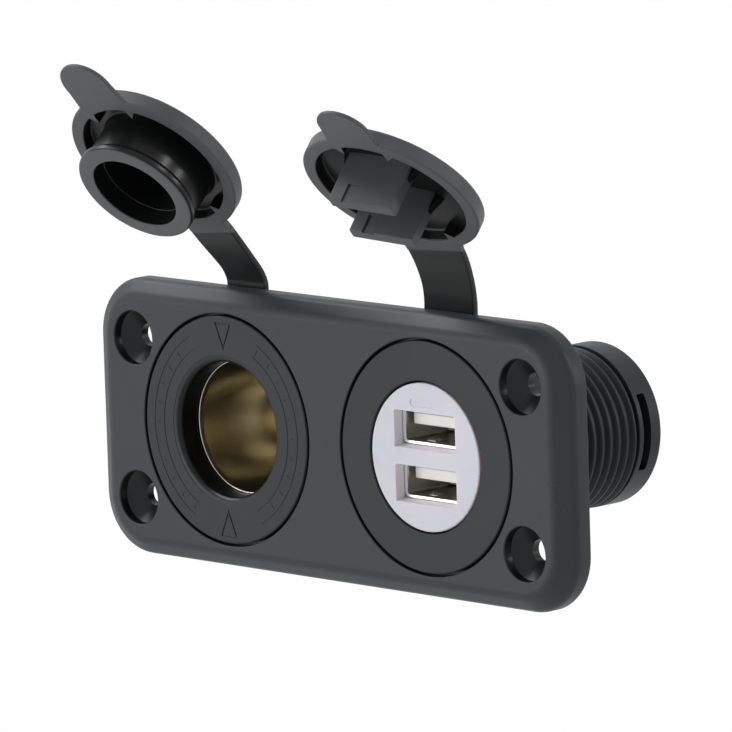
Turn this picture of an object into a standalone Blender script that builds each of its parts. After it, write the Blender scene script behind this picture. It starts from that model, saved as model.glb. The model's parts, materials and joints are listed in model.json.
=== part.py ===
"""Panel-mount vehicle socket: a 12 V outlet and a twin USB insert, each with a tethered dust cap.

Metres, +Z up. X runs along the panel and its front faces -Y. The origin is the middle of the
panel's back plane, on the rib between the two sockets.
"""
import math

import bmesh
import bpy
from mathutils import Quaternion, Vector

MM = 0.001

# Clearances
SEAT_GAP = 0.3 * MM
SHEET_GAP = 0.15 * MM
RUNNING_GAP = 0.3 * MM
CUT_MARGIN = 1.0 * MM

# Facets round a full turn
ROUND_STEPS = 40
MIDDLE_STEPS = 32
SMALL_STEPS = 20
CORNER_STEPS = 6
BEND_STEPS = 5

# 12 V outlet
SLEEVE_BORE = 10.5 * MM
SLEEVE_WALL = 0.5 * MM
SLEEVE_RECESS = 4.4 * MM
SLEEVE_HOLE = 3.6 * MM
MOUTH_STEP = 0.45 * MM
MOUTH_ROUNDING = 1.1 * MM
INSULATOR_RADIUS = 7.0 * MM
INSULATOR_THICKNESS = 1.4 * MM
CONTACT_HEAD_RADIUS = 3.0 * MM
CONTACT_HEAD_LENGTH = 2.0 * MM
CONTACT_SHAFT_RADIUS = 1.5 * MM
CONTACT_CLEARANCE = 0.9 * MM

# Both sockets: flange, barrel, rear cover and nut
BARREL_WALL = 1.85 * MM
BARREL_END = 35.0 * MM
FLANGE_OVERHANG = 5.35 * MM
FLANGE_THICKNESS = 2.0 * MM
FLANGE_GROOVE = 0.35 * MM
FLANGE_EDGE = 0.25 * MM
COLLAR_LENGTH = 5.0 * MM
COLLAR_WINDOW_SETBACK = 2.4 * MM
COLLAR_WINDOW_LENGTH = 1.7 * MM
COLLAR_WINDOW_WIDTH = 12.3 * MM
COVER_THICKNESS = 2.0 * MM
THREAD_PITCH = 2.8 * MM
THREAD_DEPTH = 0.75 * MM
NUT_WALL = 3.35 * MM
NUT_LENGTH = 7.0 * MM
NUT_FLUTES = 12
NUT_FLUTE_DEPTH = 0.7 * MM

# Panel moulding, as margins round the two flanges
SOCKET_WEB = 7.2 * MM
PANEL_MARGIN_Z = 3.85 * MM
PANEL_DEPTH = 5.2 * MM
PANEL_CORNER = 9.75 * MM
BEVEL_DEPTH = 2.1 * MM
BEVEL_END_WIDTH = 3.5 * MM
BEVEL_SIDE_WIDTH = 2.5 * MM
BEVEL_SOFTNESS = 0.35 * MM
PANEL_SKIN = 2.4 * MM
PANEL_WALL = 2.0 * MM
CENTRE_RIB = 3.0 * MM
BOSS_WALL = 2.4 * MM
TETHER_RELIEF = 0.2 * MM

# Corner screw holes, each one web away from its flange's seat
SCREW_EDGE_X = 9.5 * MM
SCREW_EDGE_Z = 9.55 * MM
SCREW_WEB = 1.57 * MM
SCREW_BOSS_WALL = 1.0 * MM
SCREW_HEAD_RADIUS = 4.4 * MM
SCREW_HEAD_DEPTH = 1.6 * MM
SCREW_CONE_DEPTH = 2.0 * MM
SCREW_HOLE_RADIUS = 2.2 * MM

# Spade terminals
SPADE_WIDTH = 6.3 * MM
SPADE_THICKNESS = 0.8 * MM
SPADE_REACH = 8.0 * MM
SPADE_SHOULDER = 1.05 * MM
SPADE_SHOULDER_LENGTH = 1.2 * MM
SPADE_TIP_CHAMFER = 1.2 * MM
SPADE_HOLE_RADIUS = 0.9 * MM
SPADE_OFFSET = 7.0 * MM

# USB insert
INSERT_WALL = 1.95 * MM
FACE_SEAT = 0.65 * MM
FACE_THICKNESS = 2.4 * MM
FACE_WINDOW_WIDTH = 13.4 * MM
FACE_WINDOW_HEIGHT = 5.8 * MM
FACE_WINDOW_CORNER = 0.3 * MM
PORT_SPACING = 8.7 * MM
PORT_RECESS = 1.9 * MM
PORT_LENGTH = 14.0 * MM
PORT_WALL = 0.3 * MM
PORT_BEND = 0.1 * MM
TONGUE_RECESS = 3.2 * MM
TONGUE_SIDE = 0.75 * MM
TONGUE_THICKNESS = 1.84 * MM
TONGUE_LIFT = 1.05 * MM
TONGUE_BLOCK_LENGTH = 4.6 * MM
FINGER_WIDTH = 1.8 * MM
FINGER_RISE = 0.45 * MM
FINGER_SETBACK = 2.0 * MM
FINGER_LENGTH = 1.6 * MM
FINGER_CREST = 0.64 * MM
BOARD_THICKNESS = 1.6 * MM
LIGHT_GUIDE_WIDTH = 4.6 * MM
LIGHT_GUIDE_HEIGHT = 1.4 * MM
LIGHT_GUIDE_CORNER = 0.67 * MM
LIGHT_GUIDE_GAP = 1.05 * MM
INDUCTOR_RADIUS = 4.0 * MM
INDUCTOR_LENGTH = 6.0 * MM
INDUCTOR_OFFSET = 5.0 * MM
COIL_DEPTH = 1.0 * MM
COIL_FLANGE = 1.2 * MM
CAPACITOR_RADIUS = 3.15 * MM
CAPACITOR_LENGTH = 11.0 * MM
CAPACITOR_OFFSET = 5.5 * MM

# Dust caps
CAP_OVERLAP = 4.3 * MM
CAP_WALL_HEIGHT = 2.7 * MM
CAP_DOME = 1.5 * MM
CAP_SKIN = 1.1 * MM
CAP_RIM_WIDTH = 2.3 * MM
CAP_EDGE = 0.3 * MM
CAP_ROOT_DEPTH = 0.66 * MM
PLUG_REACH = 6.2 * MM
PLUG_FIT = 0.3 * MM
PLUG_WALL = 2.87 * MM
PLUG_LIP_LENGTH = 1.6 * MM
PLUG_NECK_STEP = 0.5 * MM
WEDGE_REACH = 1.5 * MM
WEDGE_WIDTH = 2.4 * MM
TAB_REACH = 2.8 * MM
TAB_TIP_RADIUS = 4.5 * MM
TAB_ROOT_WIDTH = 10.6 * MM
TAB_WRAP = 15.0
LUG_REACH = 1.0 * MM
LUG_ROOT = 2.76 * MM
PRONG_SIDE_FIT = 0.5 * MM
PRONG_FIT = 0.27 * MM
PRONG_ROOT_GROWTH = 0.15 * MM
PRONG_GROOVE_WIDTH = 3.2 * MM
PRONG_GROOVE_DEPTH = 0.75 * MM
GUSSET_LENGTH = 1.9 * MM
GUSSET_LIFT = 0.95 * MM
GUSSET_THICKNESS = 1.2 * MM

# Tethers and straps
STRAP_THICKNESS = 1.2 * MM
BEND_RADIUS = 2.0 * MM
STRAP_SKEW_REACH = 0.4
OUTLET_STRAP = {
    "width": 8.2 * MM,
    "root_lift": 1.3 * MM,
    "root_axis": (1.0, math.tan(math.radians(1.4)), math.tan(math.radians(4.0))),
    "end_axis": (1.0, 0.0, math.tan(math.radians(4.4))),
    "root_angle": math.radians(103.2),
    "end_angle": math.radians(36.9),
}
USB_STRAP = {
    "width": 11.0 * MM,
    "root_lift": 1.5 * MM,
    "root_axis": (1.0, math.tan(math.radians(7.0)), math.tan(math.radians(-6.0))),
    "end_axis": (1.0, 0.0, math.tan(math.radians(-12.0))),
    "root_angle": math.radians(110.7),
    "end_angle": math.radians(22.0),
}

# Radii that follow from the sleeve outwards
SLEEVE_SEAT = SLEEVE_BORE + SLEEVE_WALL + SEAT_GAP
MOUTH_RADIUS = SLEEVE_BORE + MOUTH_STEP
BARREL_RADIUS = SLEEVE_SEAT + BARREL_WALL
BARREL_HOLE = BARREL_RADIUS + SEAT_GAP
NUT_RADIUS = BARREL_HOLE + NUT_WALL
TETHER_RING_RADIUS = NUT_RADIUS
FLANGE_RADIUS = BARREL_RADIUS + FLANGE_OVERHANG
FLANGE_SEAT = FLANGE_RADIUS + FLANGE_GROOVE
INSERT_BORE = BARREL_RADIUS - INSERT_WALL
FACE_RADIUS = INSERT_BORE + FACE_SEAT
CAP_RADIUS = SLEEVE_BORE + CAP_OVERLAP
CAP_RIM_INNER = CAP_RADIUS - CAP_RIM_WIDTH
PLUG_RADIUS = SLEEVE_BORE - PLUG_FIT
PLUG_HOLE_RADIUS = PLUG_RADIUS - PLUG_WALL

# The panel's outline and the places of its holes
PANEL_TOP = FLANGE_SEAT + PANEL_MARGIN_Z
PANEL_HEIGHT = 2 * PANEL_TOP
SCREW_Z = PANEL_TOP - SCREW_EDGE_Z
USB_X = FLANGE_SEAT + SOCKET_WEB / 2
OUTLET_X = -USB_X
SCREW_X = USB_X + math.sqrt((FLANGE_SEAT + SCREW_WEB + SCREW_HEAD_RADIUS) ** 2 - SCREW_Z ** 2)
PANEL_WIDTH = 2 * (SCREW_X + SCREW_EDGE_X)

# Planes from front to back
FRONT = -PANEL_DEPTH
FLANGE_BACK = FRONT + FLANGE_THICKNESS
FLANGE_FLOOR = FLANGE_BACK + SEAT_GAP
TETHER_FRONT = SEAT_GAP - TETHER_RELIEF
TETHER_BACK = TETHER_FRONT + STRAP_THICKNESS
NUT_FRONT = TETHER_BACK + SEAT_GAP
THREAD_END = BARREL_END - COLLAR_LENGTH
COVER_FRONT = BARREL_END - COVER_THICKNESS
SHOULDER_BACK = COVER_FRONT - SEAT_GAP
SHOULDER_FRONT = SHOULDER_BACK - SPADE_SHOULDER_LENGTH
CONTACT_END = SHOULDER_FRONT - CONTACT_CLEARANCE
SLEEVE_END = CONTACT_END - 2 * SEAT_GAP
SLEEVE_BOTTOM = SLEEVE_END - SLEEVE_WALL
SLEEVE_FRONT = FRONT + SLEEVE_RECESS
FACE_BACK = FRONT + FACE_THICKNESS
FACE_FLOOR = FACE_BACK + SEAT_GAP
PORT_FRONT = FRONT + PORT_RECESS
PORT_BACK = PORT_FRONT + PORT_LENGTH
BOARD_FRONT = PORT_BACK + SEAT_GAP
BOARD_BACK = BOARD_FRONT + BOARD_THICKNESS

# The ports, and the half of each under its tongue that a prong fills, about the port's middle
PORT_WIDTH = FACE_WINDOW_WIDTH - 2 * SHEET_GAP
PORT_HEIGHT = FACE_WINDOW_HEIGHT - 2 * SHEET_GAP
PORT_INNER_WIDTH = PORT_WIDTH - 2 * PORT_WALL
PORT_INNER_HEIGHT = PORT_HEIGHT - 2 * PORT_WALL
TONGUE_TOP = TONGUE_LIFT + TONGUE_THICKNESS / 2
TONGUE_UNDERSIDE = TONGUE_LIFT - TONGUE_THICKNESS / 2
LIGHT_GUIDE_LIFT = PORT_SPACING / 2 + FACE_WINDOW_HEIGHT / 2 + LIGHT_GUIDE_GAP + LIGHT_GUIDE_HEIGHT / 2
PRONG_HALF = PORT_INNER_WIDTH / 2 - PRONG_SIDE_FIT
PRONG_FLOOR = -PORT_INNER_HEIGHT / 2 + PRONG_FIT
PRONG_ROOF = TONGUE_UNDERSIDE - PRONG_FIT

# The closed cap
CAP_RIM = FRONT - SEAT_GAP
CAP_BACK = CAP_RIM - CAP_WALL_HEIGHT
CAP_ROOT = CAP_BACK - CAP_ROOT_DEPTH
CAP_TIP = CAP_RIM + PLUG_REACH
TAB_TIP_DISTANCE = CAP_RADIUS + TAB_REACH
END_HINGE_LIFT = CAP_RADIUS + LUG_REACH


def clear_scene():
    for existing in list(bpy.data.objects):
        bpy.data.objects.remove(existing, do_unlink=True)


def plain_material(name, colour, roughness, metallic=0.0):
    made = bpy.data.materials.new(name)
    made.use_nodes = True
    shader = made.node_tree.nodes["Principled BSDF"]
    shader.inputs["Base Color"].default_value = (*colour, 1.0)
    shader.inputs["Roughness"].default_value = roughness
    shader.inputs["Metallic"].default_value = metallic
    return made


def add_object(name, mesh_data, material=None, location=(0.0, 0.0, 0.0), parent=None):
    """Turn a bmesh into an object with its faces pointing out."""
    bmesh.ops.recalc_face_normals(mesh_data, faces=mesh_data.faces)
    mesh = bpy.data.meshes.new(name)
    mesh_data.to_mesh(mesh)
    mesh_data.free()
    if material:
        mesh.materials.append(material)
        mesh.shade_smooth()
        mesh.set_sharp_from_angle(angle=math.radians(35.0))
    made = bpy.data.objects.new(name, mesh)
    made.location = location
    made.parent = parent
    bpy.context.collection.objects.link(made)
    return made


def shape_with(target, tool, operation="DIFFERENCE"):
    """Cut a hidden tool solid from the target, or join it on."""
    tool.hide_render = True
    tool.display_type = "WIRE"
    step = target.modifiers.new(tool.name, "BOOLEAN")
    step.object = tool
    step.operation = operation
    step.solver = "EXACT"


def circle(radius, steps, centre=(0.0, 0.0)):
    turns = [2.0 * math.pi * step / steps for step in range(steps)]
    return [(centre[0] + radius * math.cos(turn), centre[1] + radius * math.sin(turn)) for turn in turns]


def arc(centre, radius, start, end, steps):
    """Points from one angle to another, in degrees."""
    turns = [math.radians(start + (end - start) * step / steps) for step in range(steps + 1)]
    return [(centre[0] + radius * math.cos(turn), centre[1] + radius * math.sin(turn)) for turn in turns]


def rounded_rectangle(width, height, radius, steps=CORNER_STEPS):
    right = width / 2 - radius
    top = height / 2 - radius
    outline = arc((right, top), radius, 0, 90, steps)
    outline += arc((-right, top), radius, 90, 180, steps)
    outline += arc((-right, -top), radius, 180, 270, steps)
    outline += arc((right, -top), radius, 270, 360, steps)
    return outline


def skin_rings(mesh_data, rings, closed):
    """Join rings of equal length with quads. A closed run has its last ring joined to its first."""
    count = len(rings[0])
    pairs = list(zip(rings, rings[1:]))
    if closed:
        pairs.append((rings[-1], rings[0]))
    else:
        mesh_data.faces.new(rings[0])
        mesh_data.faces.new(list(reversed(rings[-1])))
    for near, far in pairs:
        for step in range(count):
            after = (step + 1) % count
            mesh_data.faces.new((near[step], far[step], far[after], near[after]))


def extruded(outline, front, back):
    """A flat outline of (x, z) points, given thickness along Y."""
    mesh_data = bmesh.new()
    rings = [[mesh_data.verts.new((x, y, z)) for x, z in outline] for y in (front, back)]
    skin_rings(mesh_data, rings, closed=False)
    return mesh_data


def extruded_ring(outer, inner, front, back):
    """A flat ring between two outlines with as many points, given thickness along Y."""
    mesh_data = bmesh.new()
    order = ((outer, front), (outer, back), (inner, back), (inner, front))
    rings = [[mesh_data.verts.new((x, y, z)) for x, z in outline] for outline, y in order]
    skin_rings(mesh_data, rings, closed=True)
    return mesh_data


def side_extruded(outline, left, right):
    """A side profile of (y, z) points, given width along X."""
    mesh_data = bmesh.new()
    rings = [[mesh_data.verts.new((x, y, z)) for y, z in outline] for x in (left, right)]
    skin_rings(mesh_data, rings, closed=False)
    return mesh_data


def box(low, high):
    outline = [(low[0], low[2]), (high[0], low[2]), (high[0], high[2]), (low[0], high[2])]
    return extruded(outline, low[1], high[1])


def cylinder(radius, front, back, centre=(0.0, 0.0), steps=ROUND_STEPS):
    return extruded(circle(radius, steps, centre), front, back)


def turned(profile, steps=ROUND_STEPS):
    """Spin (radius, y) points about Y. A profile that starts on the axis also ends there."""
    mesh_data = bmesh.new()
    rows = []
    for radius, y in profile:
        if radius == 0.0:
            rows.append([mesh_data.verts.new((0.0, y, 0.0))] * steps)
        else:
            rows.append([mesh_data.verts.new((x, y, z)) for x, z in circle(radius, steps)])
    pairs = list(zip(rows, rows[1:]))
    if profile[0][0] > 0.0:
        pairs.append((rows[-1], rows[0]))
    for near, far in pairs:
        for step in range(steps):
            after = (step + 1) % steps
            corners = (near[step], far[step], far[after], near[after])
            mesh_data.faces.new(tuple(dict.fromkeys(corners)))
    return mesh_data


def barrel_thread():
    """The nut's thread as rings with V grooves between them, from the nut back to the collar."""
    length = THREAD_END - NUT_FRONT
    pitch = length / round(length / THREAD_PITCH)
    points = [(BARREL_RADIUS, NUT_FRONT)]
    while points[-1][1] < THREAD_END - pitch / 2:
        crest = points[-1][1]
        points += [(BARREL_RADIUS - THREAD_DEPTH, crest + pitch / 2), (BARREL_RADIUS, crest + pitch)]
    return points


def flange_and_barrel():
    """The outer side of a socket body, from its front face to its rear end."""
    return [
        (FLANGE_RADIUS - FLANGE_EDGE, FRONT),
        (FLANGE_RADIUS, FRONT + FLANGE_EDGE),
        (FLANGE_RADIUS, FLANGE_BACK),
        (BARREL_RADIUS, FLANGE_BACK),
        *barrel_thread(),
        (BARREL_RADIUS, BARREL_END),
    ]


def panel_blank():
    """The outline lofted forward, with a bevel whose edges are softened."""
    soft = BEVEL_SOFTNESS / BEVEL_DEPTH
    bevel_start = FRONT + BEVEL_DEPTH
    levels = [
        (0.0, 0.0),
        (0.0, bevel_start + BEVEL_SOFTNESS),
        (soft / 2, bevel_start - BEVEL_SOFTNESS / 2),
        (1.0 - soft, FRONT + BEVEL_SOFTNESS / 2),
        (1.0 + soft / 2, FRONT),
    ]
    mesh_data = bmesh.new()
    rings = []
    for inset, y in levels:
        outline = rounded_rectangle(
            PANEL_WIDTH - 2 * BEVEL_END_WIDTH * inset,
            PANEL_HEIGHT - 2 * BEVEL_SIDE_WIDTH * inset,
            PANEL_CORNER - BEVEL_SIDE_WIDTH * inset,
        )
        rings.append([mesh_data.verts.new((x, y, z)) for x, z in outline])
    skin_rings(mesh_data, rings, closed=False)
    return mesh_data


def screw_places():
    return [(x * SCREW_X, z * SCREW_Z) for x in (-1, 1) for z in (-1, 1)]


def pocket_tool():
    """The hollow in the panel's back: its inside outline less the bosses and the centre rib."""
    inside = rounded_rectangle(
        PANEL_WIDTH - 2 * PANEL_WALL, PANEL_HEIGHT - 2 * PANEL_WALL, PANEL_CORNER - PANEL_WALL
    )
    floor = FRONT + PANEL_SKIN
    tool = add_object("pocket_tool", extruded(inside, floor, CUT_MARGIN))
    boss_radius = FLANGE_SEAT + BOSS_WALL
    for side, x in (("outlet", OUTLET_X), ("usb", USB_X)):
        boss = cylinder(boss_radius, floor - CUT_MARGIN, 2 * CUT_MARGIN, (x, 0.0))
        shape_with(tool, add_object(f"{side}_boss_tool", boss))
    for index, place in enumerate(screw_places()):
        radius = SCREW_HEAD_RADIUS + SCREW_BOSS_WALL
        boss = cylinder(radius, floor - CUT_MARGIN, 2 * CUT_MARGIN, place, SMALL_STEPS)
        shape_with(tool, add_object(f"screw_boss_tool_{index}", boss))
    rib_low = (-CENTRE_RIB / 2, floor - CUT_MARGIN, -PANEL_TOP)
    rib_high = (CENTRE_RIB / 2, 2 * CUT_MARGIN, PANEL_TOP)
    shape_with(tool, add_object("rib_tool", box(rib_low, rib_high)))
    return tool


def screw_hole():
    """Counterbore, cone and through hole."""
    cone_start = FRONT + SCREW_HEAD_DEPTH
    cone_end = cone_start + SCREW_CONE_DEPTH
    return turned([
        (0.0, FRONT - CUT_MARGIN),
        (SCREW_HEAD_RADIUS, FRONT - CUT_MARGIN),
        (SCREW_HEAD_RADIUS, cone_start),
        (SCREW_HOLE_RADIUS, cone_end),
        (SCREW_HOLE_RADIUS, CUT_MARGIN),
        (0.0, CUT_MARGIN),
    ], SMALL_STEPS)


def socket_hole():
    """Seat for the flange, hole for the barrel, and the shallow seat of the tether ring."""
    relief_radius = TETHER_RING_RADIUS + SEAT_GAP
    return turned([
        (0.0, FRONT - CUT_MARGIN),
        (FLANGE_SEAT, FRONT - CUT_MARGIN),
        (FLANGE_SEAT, FLANGE_FLOOR),
        (BARREL_HOLE, FLANGE_FLOOR),
        (BARREL_HOLE, -TETHER_RELIEF),
        (relief_radius, -TETHER_RELIEF),
        (relief_radius, CUT_MARGIN),
        (0.0, CUT_MARGIN),
    ])


def make_panel(material):
    panel = add_object("mounting_panel", panel_blank(), material)
    shape_with(panel, pocket_tool())
    for side, x, strap in (("outlet", OUTLET_X, OUTLET_STRAP), ("usb", USB_X, USB_STRAP)):
        shape_with(panel, add_object(f"{side}_hole_tool", socket_hole(), location=(x, 0.0, 0.0)))
        reach = strap["width"] / 2 + SEAT_GAP
        notch = box((x - reach, -TETHER_RELIEF, 0.0), (x + reach, CUT_MARGIN, PANEL_TOP + CUT_MARGIN))
        shape_with(panel, add_object(f"{side}_notch_tool", notch))
    for index, (x, z) in enumerate(screw_places()):
        shape_with(panel, add_object(f"screw_tool_{index}", screw_hole(), location=(x, 0.0, z)))


def window_tools(body, x):
    """The arc window through each side of the barrel's rear collar."""
    back = BARREL_END - COLLAR_WINDOW_SETBACK
    for side in (-1, 1):
        inner = x + side * BARREL_RADIUS / 2
        outer = x + side * (BARREL_RADIUS + CUT_MARGIN)
        low = (min(inner, outer), back - COLLAR_WINDOW_LENGTH, -COLLAR_WINDOW_WIDTH / 2)
        high = (max(inner, outer), back, COLLAR_WINDOW_WIDTH / 2)
        tool = add_object(f"{body.name}_window_tool_{side + 1}", box(low, high))
        shape_with(body, tool)


def make_outlet_body(material):
    """Flange with a rounded mouth, and a barrel that holds the sleeve."""
    step = SLEEVE_FRONT - SEAT_GAP
    rounding_centre = (MOUTH_RADIUS + MOUTH_ROUNDING, FRONT + MOUTH_ROUNDING)
    rounding = arc(rounding_centre, MOUTH_ROUNDING, 180, 270, BEND_STEPS)
    profile = flange_and_barrel() + [
        (SLEEVE_SEAT, BARREL_END),
        (SLEEVE_SEAT, step),
        (MOUTH_RADIUS, step),
    ] + rounding
    body = add_object("outlet_body", turned(profile), material, (OUTLET_X, 0.0, 0.0))
    window_tools(body, OUTLET_X)


def make_sleeve(material):
    """The metal cup of the outlet, open to the front, with a hole in its bottom."""
    outer = SLEEVE_BORE + SLEEVE_WALL
    profile = [
        (SLEEVE_BORE, SLEEVE_FRONT),
        (outer, SLEEVE_FRONT),
        (outer, SLEEVE_END),
        (SLEEVE_HOLE, SLEEVE_END),
        (SLEEVE_HOLE, SLEEVE_BOTTOM),
        (SLEEVE_BORE, SLEEVE_BOTTOM),
    ]
    add_object("outlet_sleeve", turned(profile), material, (OUTLET_X, 0.0, 0.0))


def make_insulator(material):
    """A disc on the sleeve's bottom, with a neck that lines the hole."""
    back = SLEEVE_BOTTOM - SEAT_GAP
    front = back - INSULATOR_THICKNESS
    neck_end = SLEEVE_END + SEAT_GAP
    bore = CONTACT_SHAFT_RADIUS + SEAT_GAP
    profile = [
        (bore, front),
        (INSULATOR_RADIUS, front),
        (INSULATOR_RADIUS, back),
        (SLEEVE_HOLE - SEAT_GAP, back),
        (SLEEVE_HOLE - SEAT_GAP, neck_end),
        (bore, neck_end),
    ]
    add_object("outlet_insulator", turned(profile, SMALL_STEPS), material, (OUTLET_X, 0.0, 0.0))


def make_centre_contact(material):
    """A riveted button: the plug's tip presses on its rounded head."""
    head_back = SLEEVE_BOTTOM - SEAT_GAP - INSULATOR_THICKNESS - SEAT_GAP
    head_front = head_back - CONTACT_HEAD_LENGTH
    dome = [
        (CONTACT_HEAD_RADIUS * math.sin(turn), head_front + CONTACT_HEAD_LENGTH / 2 * (1 - math.cos(turn)))
        for turn in (math.radians(30 * step) for step in range(4))
    ]
    profile = dome + [
        (CONTACT_HEAD_RADIUS, head_back),
        (CONTACT_SHAFT_RADIUS, head_back),
        (CONTACT_SHAFT_RADIUS, CONTACT_END),
        (0.0, CONTACT_END),
    ]
    profile[0] = (0.0, head_front)
    add_object("outlet_centre_contact", turned(profile, SMALL_STEPS), material, (OUTLET_X, 0.0, 0.0))


def spade_outline():
    """Shoulder inside the cover, blade outside it, as (y, z) points."""
    tip = BARREL_END + SPADE_REACH
    half = SPADE_WIDTH / 2
    shoulder = half + SPADE_SHOULDER
    return [
        (SHOULDER_FRONT, -shoulder),
        (SHOULDER_BACK, -shoulder),
        (SHOULDER_BACK, -half),
        (tip - SPADE_TIP_CHAMFER, -half),
        (tip, -half + SPADE_TIP_CHAMFER),
        (tip, half - SPADE_TIP_CHAMFER),
        (tip - SPADE_TIP_CHAMFER, half),
        (SHOULDER_BACK, half),
        (SHOULDER_BACK, shoulder),
        (SHOULDER_FRONT, shoulder),
    ]


def make_terminals(side, x, material):
    """A pair of spade terminals, the positive one on the barrel's axis."""
    hole_place = (0.0, BARREL_END + SPADE_REACH / 2, 0.0)
    for name, offset in (("positive", 0.0), ("negative", -SPADE_OFFSET)):
        place = (x + offset, 0.0, 0.0)
        blade = side_extruded(spade_outline(), -SPADE_THICKNESS / 2, SPADE_THICKNESS / 2)
        terminal = add_object(f"{side}_terminal_{name}", blade, material, place)
        lock = side_extruded(
            circle(SPADE_HOLE_RADIUS, SMALL_STEPS // 2, hole_place[1:]), -SPADE_THICKNESS, SPADE_THICKNESS
        )
        shape_with(terminal, add_object(f"{side}_{name}_lock_tool", lock, location=place))


def make_rear_cover(side, x, bore, material):
    """The disc that closes the barrel, with a slot for each terminal."""
    cover = add_object(
        f"{side}_rear_cover",
        turned([
            (0.0, COVER_FRONT),
            (bore - SEAT_GAP, COVER_FRONT),
            (bore - SEAT_GAP, BARREL_END - FLANGE_EDGE),
            (bore - SEAT_GAP - FLANGE_EDGE, BARREL_END),
            (0.0, BARREL_END),
        ], MIDDLE_STEPS),
        material,
        (x, 0.0, 0.0),
    )
    reach_x = SPADE_THICKNESS / 2 + SEAT_GAP
    reach_z = SPADE_WIDTH / 2 + SEAT_GAP
    for index, offset in enumerate((0.0, -SPADE_OFFSET)):
        low = (x + offset - reach_x, COVER_FRONT - CUT_MARGIN, -reach_z)
        high = (x + offset + reach_x, BARREL_END + CUT_MARGIN, reach_z)
        shape_with(cover, add_object(f"{side}_slot_tool_{index}", box(low, high)))


def make_nut(side, x, material):
    """Ring nut behind the panel, fluted for the fingers."""
    steps = NUT_FLUTES * 4
    outer = []
    for step in range(steps):
        turn = 2.0 * math.pi * step / steps
        radius = NUT_RADIUS - NUT_FLUTE_DEPTH * max(0.0, math.cos(NUT_FLUTES * turn))
        outer.append((radius * math.cos(turn), radius * math.sin(turn)))
    inner = circle(BARREL_HOLE, steps)
    nut = extruded_ring(outer, inner, NUT_FRONT, NUT_FRONT + NUT_LENGTH)
    add_object(f"{side}_nut", nut, material, (x, 0.0, 0.0))


def make_usb_body(material):
    """Flange with a seat for the face disc, and a barrel that holds the electronics."""
    seat_radius = FACE_RADIUS + SEAT_GAP
    profile = flange_and_barrel() + [
        (INSERT_BORE, BARREL_END),
        (INSERT_BORE, FACE_FLOOR),
        (seat_radius, FACE_FLOOR),
        (seat_radius, FRONT + FLANGE_EDGE),
        (seat_radius + FLANGE_EDGE, FRONT),
    ]
    body = add_object("usb_body", turned(profile), material, (USB_X, 0.0, 0.0))
    window_tools(body, USB_X)


def port_heights():
    return (("upper", PORT_SPACING / 2), ("lower", -PORT_SPACING / 2))


def make_usb_face(material):
    """The white disc with a window for each port."""
    face = add_object("usb_face", cylinder(FACE_RADIUS, FRONT, FACE_BACK), material, (USB_X, 0.0, 0.0))
    outline = rounded_rectangle(FACE_WINDOW_WIDTH, FACE_WINDOW_HEIGHT, FACE_WINDOW_CORNER, 1)
    for name, lift in port_heights():
        window = extruded(outline, FRONT - CUT_MARGIN, FACE_BACK + CUT_MARGIN)
        tool = add_object(f"face_window_tool_{name}", window, location=(USB_X, 0.0, lift))
        shape_with(face, tool)


def make_usb_shell(name, lift, material):
    """A port's folded sheet shell, with the spring finger pressed up from its floor."""
    outer = rounded_rectangle(PORT_WIDTH, PORT_HEIGHT, PORT_WALL, 1)
    inner = rounded_rectangle(PORT_INNER_WIDTH, PORT_INNER_HEIGHT, PORT_BEND, 1)
    place = (USB_X, 0.0, lift)
    shell = add_object(
        f"usb_shell_{name}", extruded_ring(outer, inner, PORT_FRONT, PORT_BACK), material, place
    )
    floor = -PORT_INNER_HEIGHT / 2
    start = PORT_FRONT + FINGER_SETBACK
    bump = [
        (start, floor - PORT_WALL / 2),
        (start, floor),
        (start + FINGER_CREST, floor + FINGER_RISE),
        (start + FINGER_LENGTH, floor),
        (start + FINGER_LENGTH, floor - PORT_WALL / 2),
    ]
    finger = side_extruded(bump, -FINGER_WIDTH / 2, FINGER_WIDTH / 2)
    shape_with(shell, add_object(f"finger_tool_{name}", finger, location=place), "UNION")


def make_usb_tongue(name, lift, material):
    """The plastic tongue in the port's upper half, with the block that carries it."""
    block_front = PORT_BACK - TONGUE_BLOCK_LENGTH
    block_x = PORT_INNER_WIDTH / 2 - SEAT_GAP
    block_z = PORT_INNER_HEIGHT / 2 - SEAT_GAP
    blade_x = PORT_INNER_WIDTH / 2 - TONGUE_SIDE
    place = (USB_X, 0.0, lift)
    block = box((-block_x, block_front, -block_z), (block_x, PORT_BACK, block_z))
    tongue = add_object(f"usb_tongue_{name}", block, material, place)
    blade = box(
        (-blade_x, FRONT + TONGUE_RECESS, TONGUE_UNDERSIDE),
        (blade_x, block_front + CUT_MARGIN, TONGUE_TOP),
    )
    shape_with(tongue, add_object(f"blade_tool_{name}", blade, location=place), "UNION")


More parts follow.
